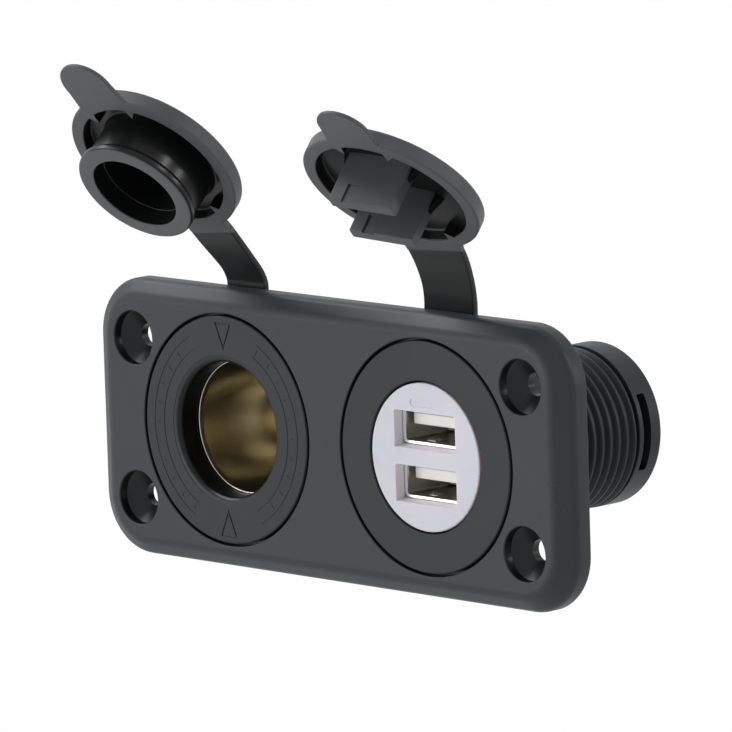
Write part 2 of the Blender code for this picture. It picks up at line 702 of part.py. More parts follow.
def make_electronics(board_material, coil_material, can_material, clear_material):
    """The circuit board across the barrel, with the parts that stand on it."""
    board = cylinder(INSERT_BORE - SEAT_GAP, BOARD_FRONT, BOARD_BACK)
    add_object("usb_board", board, board_material, (USB_X, 0.0, 0.0))
    stand = BOARD_BACK + SEAT_GAP
    coil_waist = INDUCTOR_RADIUS - COIL_DEPTH
    coil_end = stand + INDUCTOR_LENGTH
    coil = turned([
        (0.0, stand),
        (INDUCTOR_RADIUS, stand),
        (INDUCTOR_RADIUS, stand + COIL_FLANGE),
        (coil_waist, stand + COIL_FLANGE),
        (coil_waist, coil_end - COIL_FLANGE),
        (INDUCTOR_RADIUS, coil_end - COIL_FLANGE),
        (INDUCTOR_RADIUS, coil_end),
        (0.0, coil_end),
    ], SMALL_STEPS)
    add_object("usb_inductor", coil, coil_material, (USB_X, 0.0, -INDUCTOR_OFFSET))
    can = cylinder(CAPACITOR_RADIUS, stand, stand + CAPACITOR_LENGTH, steps=SMALL_STEPS)
    add_object("usb_capacitor", can, can_material, (USB_X, 0.0, CAPACITOR_OFFSET))
    guide_outline = rounded_rectangle(LIGHT_GUIDE_WIDTH, LIGHT_GUIDE_HEIGHT, LIGHT_GUIDE_CORNER, 3)
    guide = extruded(guide_outline, FACE_BACK + SEAT_GAP, BOARD_FRONT - SEAT_GAP)
    add_object("indicator_light_guide", guide, clear_material, (USB_X, 0.0, LIGHT_GUIDE_LIFT))


def root_hinge_place(x, strap):
    return Vector((x, (TETHER_FRONT + TETHER_BACK) / 2, PANEL_TOP + strap["root_lift"]))


def end_hinge_place(x):
    """Where the strap meets the cap's rim, with the cap closed."""
    return Vector((x, CAP_RIM - STRAP_THICKNESS / 2, END_HINGE_LIFT))


def make_tether(side, x, strap, material):
    """The ring held between panel and nut, with the strap's fixed root above it."""
    half = strap["width"] / 2
    lean = strap["root_axis"][2]
    top = root_hinge_place(x, strap).z - STRAP_THICKNESS / 2 - RUNNING_GAP
    start = math.degrees(math.acos(half / TETHER_RING_RADIUS))
    outline = [(half, top + lean * half), (-half, top - lean * half)]
    outline += arc((0.0, 0.0), TETHER_RING_RADIUS, 180.0 - start, 360.0 + start, ROUND_STEPS)
    tether = add_object(
        f"{side}_tether", extruded(outline, TETHER_FRONT, TETHER_BACK), material, (x, 0.0, 0.0)
    )
    bore = cylinder(BARREL_HOLE, TETHER_FRONT - CUT_MARGIN, TETHER_BACK + CUT_MARGIN)
    shape_with(tether, add_object(f"{side}_tether_bore_tool", bore, location=(x, 0.0, 0.0)))


def rounded_route(points, radius):
    """A polyline of (y, z) points with each inner corner replaced by an arc."""
    route = [points[0]]
    for before, corner, after in zip(points, points[1:], points[2:]):
        inward = (before - corner).normalized()
        outward = (after - corner).normalized()
        half_angle = inward.angle(outward) / 2
        trim = radius / math.tan(half_angle)
        centre = corner + (inward + outward).normalized() * (radius / math.sin(half_angle))
        start = corner + inward * trim - centre
        end = corner + outward * trim - centre
        start_turn = math.atan2(start.y, start.x)
        sweep = math.remainder(math.atan2(end.y, end.x) - start_turn, 2.0 * math.pi)
        for step in range(BEND_STEPS + 1):
            turn = start_turn + sweep * step / BEND_STEPS
            route.append(centre + Vector((math.cos(turn), math.sin(turn))) * radius)
    route.append(points[-1])
    return route


def strap_route(x, strap):
    """The closed strap's middle line: over the panel's top edge, down its bevel and its face."""
    root = root_hinge_place(x, strap)
    end = end_hinge_place(x)
    bevel_top = Vector((FRONT + BEVEL_DEPTH, PANEL_TOP))
    bevel_foot = Vector((FRONT, PANEL_TOP - BEVEL_SIDE_WIDTH))
    slope = (bevel_foot - bevel_top).normalized()
    outward = Vector((slope.y, -slope.x))
    lifted = bevel_top + outward * (STRAP_THICKNESS / 2 + SEAT_GAP + BEVEL_SOFTNESS)
    over = lifted + slope * ((root.z - lifted.y) / slope.y)
    down = lifted + slope * ((end.y - lifted.x) / slope.x)
    corners = [Vector((root.y, root.z)), over, down, Vector((end.y, end.z))]
    return rounded_route(corners, BEND_RADIUS)


def strap_stations(route):
    """Points down the strap with their direction, their share of the length and half thickness.

    Each end runs on past its hinge in a half round.
    """
    lengths = [0.0]
    for before, after in zip(route, route[1:]):
        lengths.append(lengths[-1] + (after - before).length)
    half = STRAP_THICKNESS / 2
    stations = []
    for place, (point, length) in enumerate(zip(route, lengths)):
        before = route[max(place - 1, 0)]
        after = route[min(place + 1, len(route) - 1)]
        stations.append((point, (after - before).normalized(), length / lengths[-1], half))
    head = (route[1] - route[0]).normalized()
    tail = (route[-1] - route[-2]).normalized()
    for turn in (math.radians(angle) for angle in (25.0, 50.0, 75.0)):
        reach = half * math.sin(turn)
        stations.insert(0, (route[0] - head * reach, head, 0.0, half * math.cos(turn)))
        stations.append((route[-1] + tail * reach, tail, 1.0, half * math.cos(turn)))
    return stations


def width_line(strap, along, share):
    """The strap's cross direction: its hinge's axis at each end, square to its length between."""
    normal = Vector((along.y, -along.x))
    near_root = max(0.0, 1.0 - share / STRAP_SKEW_REACH)
    near_end = max(0.0, 1.0 - (1.0 - share) / STRAP_SKEW_REACH)
    root_axis = strap["root_axis"]
    end_axis = strap["end_axis"]
    slant = -root_axis[1] * near_root - end_axis[2] * near_end
    twist = root_axis[2] * near_root
    offset = along * slant + normal * twist
    return Vector((1.0, offset.x, offset.y))


def strap_sections(route, strap, root):
    """Cross-sections down the strap, each with four corners about the root hinge."""
    sections = []
    for point, along, share, thickness in strap_stations(route):
        line = width_line(strap, along, share)
        across = line * (strap["width"] / 2)
        through = Vector((0.0, along.x, along.y)).cross(line).normalized() * thickness
        centre = Vector((0.0, point.x - root.y, point.y - root.z))
        sections.append([
            centre + across + through,
            centre - across + through,
            centre - across - through,
            centre + across - through,
        ])
    return sections


def make_strap(side, x, strap, hinge, material):
    root = root_hinge_place(x, strap)
    sections = strap_sections(strap_route(x, strap), strap, root)
    mesh_data = bmesh.new()
    rings = [[mesh_data.verts.new(corner) for corner in section] for section in sections]
    skin_rings(mesh_data, rings, closed=False)
    add_object(f"{side}_strap", mesh_data, material, parent=hinge)


def dome_rise(radius):
    """How far the cap's back stands out at a radius: most in the middle, nothing at the edge."""
    share = radius / (CAP_RADIUS - CAP_EDGE)
    return CAP_DOME * (1.0 - share * share)


def cap_floor(radius):
    """A point of the cap's inner floor, one skin forward of its domed back."""
    return (radius, CAP_BACK - dome_rise(radius) + CAP_SKIN)


def cap_shell_profile():
    """Back of the cap from its middle outwards, then round the rim to the inner wall."""
    edge = CAP_RADIUS - CAP_EDGE
    radii = [edge * share for share in (0.0, 0.3, 0.6, 0.85, 1.0)]
    dome = [(radius, CAP_BACK - dome_rise(radius)) for radius in radii]
    return dome + [
        (CAP_RADIUS, CAP_BACK + CAP_EDGE),
        (CAP_RADIUS, CAP_RIM - CAP_EDGE),
        (CAP_RADIUS - CAP_EDGE, CAP_RIM),
        (CAP_RIM_INNER, CAP_RIM),
        cap_floor(CAP_RIM_INNER),
    ]


def tab_outline():
    """The pull tab below the closed cap: straight sides that run into a round tip."""
    half = TAB_ROOT_WIDTH / 2
    root = CAP_RIM_WIDTH / 2 - math.sqrt(CAP_RADIUS ** 2 - half ** 2)
    outline = [(half, root), (-half, root)]
    outline += arc((0.0, -TAB_TIP_DISTANCE), TAB_TIP_RADIUS, 180.0 - TAB_WRAP, 360.0 + TAB_WRAP, 10)
    return outline


def lug_outline(strap):
    """The short lug above the closed cap that carries the end hinge."""
    half = strap["width"] / 2
    lean = strap["end_axis"][2]
    top = END_HINGE_LIFT - STRAP_THICKNESS / 2 - RUNNING_GAP
    root = CAP_RADIUS - LUG_ROOT
    return [(half, root), (half, top + lean * half), (-half, top - lean * half), (-half, root)]


def wedge_outline(centre_turn):
    """A rib on the rim's inner wall that narrows to a point towards the middle."""
    half_turn = math.degrees(WEDGE_WIDTH / 2 / CAP_RIM_INNER)
    root_radius = CAP_RIM_INNER + CAP_RIM_WIDTH / 2
    root = arc((0.0, 0.0), root_radius, centre_turn - half_turn, centre_turn + half_turn, 1)
    return root + arc((0.0, 0.0), CAP_RIM_INNER - WEDGE_REACH, centre_turn, centre_turn, 1)[:1]


def join_cap_details(side, cap, strap, place, hinge):
    """Tab, lug and wedge ribs, joined on the cap."""
    back = CAP_RIM - STRAP_THICKNESS
    pieces = {
        "tab": extruded(tab_outline(), back, CAP_RIM),
        "lug": extruded(lug_outline(strap), back, CAP_RIM),
    }
    beside_strap = math.degrees(math.asin((strap["width"] / 2 + WEDGE_WIDTH) / CAP_RADIUS))
    beside_tab = math.degrees(math.asin(TAB_ROOT_WIDTH / 2 / CAP_RADIUS))
    turns = (90.0 - beside_strap, 90.0 + beside_strap, 270.0 - beside_tab, 270.0 + beside_tab)
    for index, turn in enumerate(turns):
        pieces[f"wedge_{index}"] = extruded(wedge_outline(turn), CAP_BACK + CAP_EDGE / 2, CAP_RIM)
    for name, mesh_data in pieces.items():
        tool = add_object(f"{side}_{name}_tool", mesh_data, location=place, parent=hinge)
        shape_with(cap, tool, "UNION")


def make_outlet_cap(x, strap, hinge, material):
    """Cap with a hollow plug that fills the outlet's mouth."""
    neck = PLUG_RADIUS - PLUG_NECK_STEP
    lip_start = CAP_TIP - PLUG_LIP_LENGTH
    profile = cap_shell_profile() + [
        cap_floor(neck),
        (neck, lip_start),
        (PLUG_RADIUS, lip_start + PLUG_NECK_STEP),
        (PLUG_RADIUS, CAP_TIP - CAP_EDGE),
        (PLUG_RADIUS - CAP_EDGE, CAP_TIP),
        (PLUG_HOLE_RADIUS + CAP_EDGE, CAP_TIP),
        (PLUG_HOLE_RADIUS, CAP_TIP - CAP_EDGE),
        cap_floor(PLUG_HOLE_RADIUS),
        cap_floor(0.0),
    ]
    place = Vector((x, 0.0, 0.0)) - end_hinge_place(x)
    cap = add_object("outlet_cap", turned(profile), material, place, hinge)
    join_cap_details("outlet", cap, strap, place, hinge)


def prong_profile():
    """One prong from the side, as (y, z) points about its port's middle: it fills the open half
    under the tongue, and its root is a little thicker than its tip."""
    return [
        (CAP_ROOT, PRONG_FLOOR - PRONG_ROOT_GROWTH),
        (CAP_TIP - CAP_EDGE, PRONG_FLOOR),
        (CAP_TIP, PRONG_FLOOR + CAP_EDGE),
        (CAP_TIP, PRONG_ROOF - CAP_EDGE),
        (CAP_TIP - CAP_EDGE, PRONG_ROOF),
        (CAP_ROOT, PRONG_ROOF + PRONG_ROOT_GROWTH),
    ]


def gusset_profile(height):
    """A triangular fin between a prong's side and the cap's floor, at one height."""
    start = PRONG_HALF - CAP_EDGE
    return [
        (start, CAP_ROOT, height),
        (start + GUSSET_LENGTH, CAP_ROOT, height),
        (start, CAP_RIM + GUSSET_LIFT, height),
    ]


def gusset(side, middle):
    mesh_data = bmesh.new()
    half = GUSSET_THICKNESS / 2
    rings = [
        [mesh_data.verts.new((side * x, y, z)) for x, y, z in gusset_profile(middle + lift)]
        for lift in (-half, half)
    ]
    skin_rings(mesh_data, rings, closed=False)
    return mesh_data


def make_usb_cap(x, strap, hinge, material):
    """Cap with two prongs that fill the ports under their tongues."""
    profile = cap_shell_profile() + [cap_floor(CAP_RIM_INNER * share) for share in (0.7, 0.35, 0.0)]
    place = Vector((x, 0.0, 0.0)) - end_hinge_place(x)
    cap = add_object("usb_cap", turned(profile), material, place, hinge)
    join_cap_details("usb", cap, strap, place, hinge)
    middle = (PRONG_FLOOR + PRONG_ROOF) / 2
    for name, lift in port_heights():
        port = place + Vector((0.0, 0.0, lift))
        prong = add_object(
            f"prong_tool_{name}",
            side_extruded(prong_profile(), -PRONG_HALF, PRONG_HALF),
            location=port,
            parent=hinge,
        )
        groove = box(
            (-PRONG_GROOVE_WIDTH / 2, PORT_FRONT, PRONG_FLOOR - CUT_MARGIN),
            (PRONG_GROOVE_WIDTH / 2, CAP_TIP + CUT_MARGIN, PRONG_FLOOR + PRONG_GROOVE_DEPTH),
        )
        shape_with(prong, add_object(f"groove_tool_{name}", groove, location=port, parent=hinge))
        shape_with(cap, prong, "UNION")
        for side in (-1, 1):
            fin = add_object(
                f"gusset_tool_{name}_{side + 1}", gusset(side, middle), location=port, parent=hinge
            )
            shape_with(cap, fin, "UNION")


def add_hinge(name, place, axis, angle, parent=None):
    """An empty on a hinge axis, turned back from closed to open."""
    hinge = bpy.data.objects.new(name, None)
    hinge.location = place
    hinge.rotation_mode = "QUATERNION"
    hinge.rotation_quaternion = Quaternion(Vector(axis).normalized(), -angle)
    hinge.parent = parent
    bpy.context.collection.objects.link(hinge)
    return hinge


def make_lid(side, x, strap, make_cap, material):
    """Tether, strap and cap. Strap and cap are modelled closed, and their hinges open them."""
    make_tether(side, x, strap, material)
    root = root_hinge_place(x, strap)
    end = end_hinge_place(x)
    root_hinge = add_hinge(f"{side}_root_hinge", root, strap["root_axis"], strap["root_angle"])
    end_hinge = add_hinge(
        f"{side}_end_hinge", end - root, strap["end_axis"], strap["end_angle"], root_hinge
    )
    make_strap(side, x, strap, root_hinge, material)
    make_cap(x, strap, end_hinge, material)


def main():
    clear_scene()
    panel_plastic = plain_material("panel_plastic", (0.045, 0.05, 0.055), 0.42)
    body_plastic = plain_material("body_plastic", (0.04, 0.043, 0.05), 0.38)
    rubber = plain_material("cap_rubber", (0.035, 0.04, 0.042), 0.34)
    white_plastic = plain_material("face_plastic", (0.72, 0.72, 0.82), 0.35)
    tongue_plastic = plain_material("tongue_plastic", (0.8, 0.78, 0.72), 0.4)
    nickel = plain_material("nickel", (0.75, 0.72, 0.66), 0.25, 1.0)
    sleeve_metal = plain_material("sleeve_metal", (0.42, 0.36, 0.26), 0.28, 1.0)
    brass = plain_material("brass", (0.75, 0.58, 0.3), 0.3, 1.0)
    board_green = plain_material("board_green", (0.05, 0.22, 0.09), 0.45)
    ferrite = plain_material("ferrite", (0.06, 0.055, 0.05), 0.6)
    clear_guide = plain_material("guide_plastic", (0.85, 0.88, 0.9), 0.15)

    make_panel(panel_plastic)
    make_outlet_body(body_plastic)
    make_sleeve(sleeve_metal)
    make_insulator(body_plastic)
    make_centre_contact(brass)
    make_usb_body(body_plastic)
    make_usb_face(white_plastic)
    for name, lift in port_heights():
        make_usb_shell(name, lift, nickel)
        make_usb_tongue(name, lift, tongue_plastic)
    make_electronics(board_green, ferrite, nickel, clear_guide)
    bores = {"outlet": SLEEVE_SEAT, "usb": INSERT_BORE}
    for side, x in (("outlet", OUTLET_X), ("usb", USB_X)):
        make_rear_cover(side, x, bores[side], body_plastic)
        make_terminals(side, x, brass)
        make_nut(side, x, body_plastic)
    make_lid("outlet", OUTLET_X, OUTLET_STRAP, make_outlet_cap, rubber)
    make_lid("usb", USB_X, USB_STRAP, make_usb_cap, rubber)


main()
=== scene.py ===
# %% [markdown]
# # A panel socket for a vehicle, with two tethered dust caps
# This lesson dresses a finished CAD model. The model already holds the sizes, the moving
# bodies and their hinges. Here most plain solids get a finer piece in the same place, and the
# parts get a material, soft studio light and the camera of the product photograph.
# Everything is in metres. X runs along the panel, the front faces -Y and Z is up.

# %% Load the fixed frame
import json
import math

import bmesh
import bpy
from mathutils import Matrix, Vector


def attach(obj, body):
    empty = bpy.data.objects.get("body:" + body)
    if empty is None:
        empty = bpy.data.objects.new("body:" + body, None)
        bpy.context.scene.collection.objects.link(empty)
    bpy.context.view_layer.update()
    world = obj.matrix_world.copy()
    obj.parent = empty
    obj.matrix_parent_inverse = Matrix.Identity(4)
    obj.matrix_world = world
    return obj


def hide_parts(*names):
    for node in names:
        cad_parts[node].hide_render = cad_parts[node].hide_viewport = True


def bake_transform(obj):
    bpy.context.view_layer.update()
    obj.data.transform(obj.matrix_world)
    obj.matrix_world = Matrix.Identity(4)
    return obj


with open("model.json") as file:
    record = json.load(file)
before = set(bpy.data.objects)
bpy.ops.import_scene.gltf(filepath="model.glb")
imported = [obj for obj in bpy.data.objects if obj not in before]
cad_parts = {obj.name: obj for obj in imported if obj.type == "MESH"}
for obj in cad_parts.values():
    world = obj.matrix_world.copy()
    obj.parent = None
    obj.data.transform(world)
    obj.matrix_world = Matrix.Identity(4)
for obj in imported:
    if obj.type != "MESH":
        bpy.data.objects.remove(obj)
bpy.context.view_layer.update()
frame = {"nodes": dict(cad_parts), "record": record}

MM = 0.001

# %% [markdown]
# Both sockets are round and share one pattern, so their planes and radii are named once.
# Y values count backwards from the panel's back plane, which is Y = 0. They repeat the sizes
# of the CAD model to a tenth of a millimetre, because every finer piece sits where its plain
# one is.

# %% Sizes shared by several pieces
OUTLET_X = -22.45 * MM
USB_X = 22.45 * MM
FRONT = -5.2 * MM
PANEL_TOP = 22.7 * MM
PANEL_HALF = 53.0 * MM
FLANGE_RADIUS = 18.5 * MM
FLANGE_SEAT = 18.95 * MM
BARREL_RADIUS = 13.15 * MM
BARREL_HOLE = 13.45 * MM
BARREL_END = 35.0 * MM
SCREW_X = 43.5 * MM
SCREW_Z = 13.15 * MM
SCREW_PLACES = [(x, z) for x in (-SCREW_X, SCREW_X) for z in (-SCREW_Z, SCREW_Z)]
RING_RADIUS = 16.8 * MM
PORT_LIFTS = {"upper": 4.35 * MM, "lower": -4.35 * MM}
RIM_PLANE = -5.5 * MM
STRAP_THICKNESS = 1.2 * MM
FULL_TURN = 2.0 * math.pi

# %% [markdown]
# Modelling by hand means that one object is active, some of its points, edges or faces are
# selected, and an operator works on them. These small helpers do the selecting. Everything is
# deselected first, because an operator changes all that is selected.

# %% Selecting
def only(*pieces):
    """Select just these objects, with the first one active."""
    bpy.ops.object.select_all(action="DESELECT")
    for piece in pieces:
        piece.select_set(True)
    if pieces:
        bpy.context.view_layer.objects.active = pieces[0]


def edit(piece, kind):
    """Open a piece in edit mode with nothing selected."""
    only(piece)
    bpy.ops.object.mode_set(mode="EDIT")
    bpy.ops.mesh.select_mode(type=kind)
    bpy.ops.mesh.select_all(action="DESELECT")


def pick(piece, kind, wanted):
    """Select the points, edges or faces for which a test is true."""
    bpy.ops.mesh.select_mode(type=kind)
    bpy.ops.mesh.select_all(action="DESELECT")
    mesh = bmesh.from_edit_mesh(piece.data)
    items = {"VERT": mesh.verts, "EDGE": mesh.edges, "FACE": mesh.faces}[kind]
    chosen = [item for item in items if wanted(item)]
    for item in chosen:
        item.select_set(True)
    mesh.select_flush_mode()
    bmesh.update_edit_mesh(piece.data)
    return len(chosen)


def leave_edit(clean=True):
    """Merge doubled points, point the faces outwards and leave edit mode."""
    if clean:
        bpy.ops.mesh.select_all(action="SELECT")
        bpy.ops.mesh.remove_doubles(threshold=0.000001)
        bpy.ops.mesh.normals_make_consistent(inside=False)
    bpy.ops.object.mode_set(mode="OBJECT")


def take_new(name):
    """Name the primitive that was just added and put its place into its mesh."""
    piece = bpy.context.object
    piece.name = name
    bpy.ops.object.transform_apply(location=True, rotation=True, scale=True)
    return piece


print("selection helpers ready")

# %% [markdown]
# Most of the object is turned or pressed from an outline, so the outline is drawn first. A
# corner of a real moulding is never sharp. Each corner here can carry a radius, and the
# function replaces it with a short arc. Rounding the outline before it is spun gives cleaner
# edges than a bevel on the finished body.

# %% Outlines with rounded corners
def rounded(corners, closed=True, steps=4):
    """Points of a run of (a, b) or (a, b, radius) corners, with arcs where a radius is given."""
    points = []
    count = len(corners)
    for index, corner in enumerate(corners):
        here = Vector(corner[:2])
        radius = corner[2] if len(corner) > 2 else 0.0
        at_end = not closed and index in (0, count - 1)
        if radius == 0.0 or at_end:
            points.append(here)
            continue
        inward = (Vector(corners[index - 1][:2]) - here).normalized()
        outward = (Vector(corners[(index + 1) % count][:2]) - here).normalized()
        half = inward.angle(outward) / 2
        centre = here + (inward + outward).normalized() * (radius / math.sin(half))
        first = here + inward * (radius / math.tan(half)) - centre
        last = here + outward * (radius / math.tan(half)) - centre
        start = math.atan2(first.y, first.x)
        sweep = math.remainder(math.atan2(last.y, last.x) - start, FULL_TURN)
        for step in range(steps + 1):
            turn = start + sweep * step / steps
            points.append(centre + Vector((math.cos(turn), math.sin(turn))) * radius)
    return points


def draw_chain(name, points):
    """Draw points one after the other: a tiny plane is merged to one point, then extruded."""
    only()
    bpy.ops.mesh.primitive_plane_add(size=0.0001, location=points[0])
    piece = take_new(name)
    edit(piece, "VERT")
    bpy.ops.mesh.select_all(action="SELECT")
    bpy.ops.mesh.merge(type="CENTER")
    for before, after in zip(points, points[1:]):
        bpy.ops.mesh.extrude_vertices_move(TRANSFORM_OT_translate={"value": after - before})
    return piece


print("rounded square corner:", len(rounded([(0, 0, 1), (4, 0, 1), (4, 4, 1), (0, 4, 1)])), "points")

# %% [markdown]
# Three ways turn an outline into a body. A lathe spins it about the socket's own axis. A
# prism fills it and gives it a thickness. A loft carries a cross-section from station to
# station, for parts that bend. A Boolean then cuts one body with another or joins them.

# %% Lathe, prism, loft and cut
def lathe(name, centre, profile, sides=128):
    """Spin (radius, y) points about an axis along Y through the centre (x, z)."""
    x, z = centre
    if profile[0][0] > 0.0:
        profile = list(profile) + [profile[0]]
    piece = draw_chain(name, [Vector((x + radius, y, z)) for radius, y in profile])
    bpy.ops.mesh.select_all(action="SELECT")
    bpy.ops.mesh.spin(steps=sides, angle=FULL_TURN, center=(x, 0.0, z), axis=(0.0, 1.0, 0.0))
    leave_edit()
    return piece


def prism(name, outline, depth):
    """Fill a closed outline of Vectors and extrude it by a vector."""
    piece = draw_chain(name, list(outline) + [outline[0]])
    bpy.ops.mesh.select_all(action="SELECT")
    bpy.ops.mesh.remove_doubles(threshold=0.000001)
    bpy.ops.mesh.edge_face_add()
    bpy.ops.mesh.extrude_region_move(TRANSFORM_OT_translate={"value": depth})
    leave_edit()
    return piece


def front_prism(name, outline, front, back, centre=(0.0, 0.0)):
    """A prism from an outline of (x, z) points, between two planes of Y."""
    flat = [Vector((centre[0] + x, front, centre[1] + z)) for x, z in outline]
    return prism(name, flat, Vector((0.0, back - front, 0.0)))


def side_prism(name, outline, left, right):
    """A prism from an outline of (y, z) points, between two planes of X."""
    return prism(name, [Vector((left, y, z)) for y, z in outline], Vector((right - left, 0.0, 0.0)))


def loft(name, rings):
    """Extrude a filled ring from station to station. Every ring has as many points."""
    only()
    bpy.ops.mesh.primitive_circle_add(vertices=len(rings[0]), radius=MM, fill_type="NGON")
    piece = take_new(name)
    edit(piece, "FACE")
    bpy.ops.mesh.select_all(action="SELECT")
    for index, ring in enumerate(rings):
        if index:
            bpy.ops.mesh.extrude_region_move(TRANSFORM_OT_translate={"value": (0.0, 0.0, 0.0)})
        mesh = bmesh.from_edit_mesh(piece.data)
        lead = [face for face in mesh.faces if face.select][0]
        for vert, place in zip(lead.verts, ring):
            vert.co = place
        bmesh.update_edit_mesh(piece.data)
    bpy.ops.mesh.select_all(action="SELECT")
    bpy.ops.mesh.normals_make_consistent(inside=False)
    bpy.ops.object.mode_set(mode="OBJECT")
    return piece


def shape(piece, tool, operation="DIFFERENCE"):
    """Cut the piece with a tool body, or join the tool on, and remove the tool."""
    only(piece)
    step = piece.modifiers.new("shape", "BOOLEAN")
    step.object = tool
    step.operation = operation
    step.solver = "EXACT"
    bpy.ops.object.modifier_apply(modifier=step.name)
    bpy.data.objects.remove(tool, do_unlink=True)


def soften(piece, width, segments=2, angle=40.0):
    """Round every edge that is sharper than the angle."""
    only(piece)
    step = piece.modifiers.new("soften", "BEVEL")
    step.width = width
    step.segments = segments
    step.limit_method = "ANGLE"
    step.angle_limit = math.radians(angle)
    bpy.ops.object.modifier_apply(modifier=step.name)


def block(name, low, high, corner=0.0, segments=6):
    """A box between two corners, its four edges along Y rounded."""
    middle = [(a + b) / 2 for a, b in zip(low, high)]
    size = [b - a for a, b in zip(low, high)]
    only()
    bpy.ops.mesh.primitive_cube_add(size=1.0, location=middle, scale=size)
    piece = take_new(name)
    if corner:
        edit(piece, "EDGE")
        pick(piece, "EDGE", lambda edge: abs(edge.verts[0].co.y - edge.verts[1].co.y) > 0.5 * size[1])
        bpy.ops.mesh.bevel(offset=corner, segments=segments, affect="EDGES")
        leave_edit()
    return piece


print("shaping helpers ready")

# %% [markdown]
# Every finish on this object is moulded or pressed, and none is one flat colour. A moulded
# plastic has broad, faint patches from the flow of the melt and a very fine grain. Since
# several materials need this, it is one node group with its own inputs. It gives out a
# colour, a roughness and a normal, and the shader itself stays in each material. The group
# also paints light and shade: marked faces inside the recesses are painted darker as shade
# and made glossier, and on the pale face disc the window walls are painted lighter. Those
# faces are marked later with a mesh attribute, and the group reads it.

# %% Moulded surface group
def add_node(tree, kind, **settings):
    node = tree.nodes.new(kind)
    for name, value in settings.items():
        setattr(node, name, value)
    return node


def new_group(name, inputs, outputs):
    """A shader node group with its sockets, and its two end nodes."""
    tree = bpy.data.node_groups.new(name, "ShaderNodeTree")
    for label, kind in inputs:
        tree.interface.new_socket(name=label, in_out="INPUT", socket_type=kind)
    for label, kind in outputs:
        tree.interface.new_socket(name=label, in_out="OUTPUT", socket_type=kind)
    return tree, tree.nodes.new("NodeGroupInput"), tree.nodes.new("NodeGroupOutput")


def noise(tree, vector, scale, detail=3.0):
    """A noise texture whose scale is a number or another node's output."""
    node = add_node(tree, "ShaderNodeTexNoise")
    node.inputs["Detail"].default_value = detail
    tree.links.new(vector, node.inputs["Vector"])
    if isinstance(scale, (int, float)):
        node.inputs["Scale"].default_value = scale
    else:
        tree.links.new(scale, node.inputs["Scale"])
    return node.outputs["Fac"]


def spread(tree, value, low, high):
    """Stretch the values between low and high over 0 to 1."""
    node = add_node(tree, "ShaderNodeMapRange")
    node.inputs["From Min"].default_value = low
    node.inputs["From Max"].default_value = high
    tree.links.new(value, node.inputs["Value"])
    return node.outputs["Result"]


def mix_colour(tree, factor, first, second):
    node = add_node(tree, "ShaderNodeMix", data_type="RGBA")
    tree.links.new(factor, node.inputs[0])
    for socket, value in ((node.inputs[6], first), (node.inputs[7], second)):
        if isinstance(value, tuple):
            socket.default_value = (*value, 1.0)
        else:
            tree.links.new(value, socket)
    return node.outputs[2]


def moulded_surface():
    inputs = [
        ("Colour", "NodeSocketColor"),
        ("Patch Colour", "NodeSocketColor"),
        ("Patch Scale", "NodeSocketFloat"),
        ("Painted Light Colour", "NodeSocketColor"),
        ("Roughness", "NodeSocketFloat"),
        ("Roughness Spread", "NodeSocketFloat"),
        ("Grain Scale", "NodeSocketFloat"),
        ("Grain Height", "NodeSocketFloat"),
    ]
    outputs = [
        ("Colour", "NodeSocketColor"),
        ("Roughness", "NodeSocketFloat"),
        ("Normal", "NodeSocketVector"),
    ]
    tree, start, end = new_group("moulded_surface", inputs, outputs)
    place = add_node(tree, "ShaderNodeTexCoord").outputs["Object"]
    patches = spread(tree, noise(tree, place, start.outputs["Patch Scale"]), 0.32, 0.68)
    colour = mix_colour(tree, patches, start.outputs["Colour"], start.outputs["Patch Colour"])
    rough = add_node(tree, "ShaderNodeMath", operation="MULTIPLY_ADD")
    tree.links.new(patches, rough.inputs[0])
    tree.links.new(start.outputs["Roughness Spread"], rough.inputs[1])
    tree.links.new(start.outputs["Roughness"], rough.inputs[2])
    grain = noise(tree, place, start.outputs["Grain Scale"], 2.0)
    bump = add_node(tree, "ShaderNodeBump")
    tree.links.new(grain, bump.inputs["Height"])
    tree.links.new(start.outputs["Grain Height"], bump.inputs["Distance"])
    # Painted shade and light: the marked faces take the darkened or lightened colour, and a roughness of 0.3.
    painted_light_and_gloss = add_node(tree, "ShaderNodeAttribute", attribute_name="painted_light_and_gloss").outputs["Fac"]
    colour = mix_colour(tree, painted_light_and_gloss, colour, start.outputs["Painted Light Colour"])
    gloss = add_node(tree, "ShaderNodeMix")
    tree.links.new(painted_light_and_gloss, gloss.inputs[0])
    tree.links.new(rough.outputs[0], gloss.inputs[2])
    gloss.inputs[3].default_value = 0.3
    tree.links.new(colour, end.inputs["Colour"])
    tree.links.new(gloss.outputs[0], end.inputs["Roughness"])
    tree.links.new(bump.outputs["Normal"], end.inputs["Normal"])
    return tree


MOULDED = moulded_surface()
print("group:", MOULDED.name)

# %% [markdown]
# Handling leaves its own layer: a few pale flecks of dust and lint that cling to rubber and
# textured plastic. The flecks are cells of a Voronoi pattern, kept only where a broad noise
# allows them, so they gather in places as on a real part. This group gives out a mask.

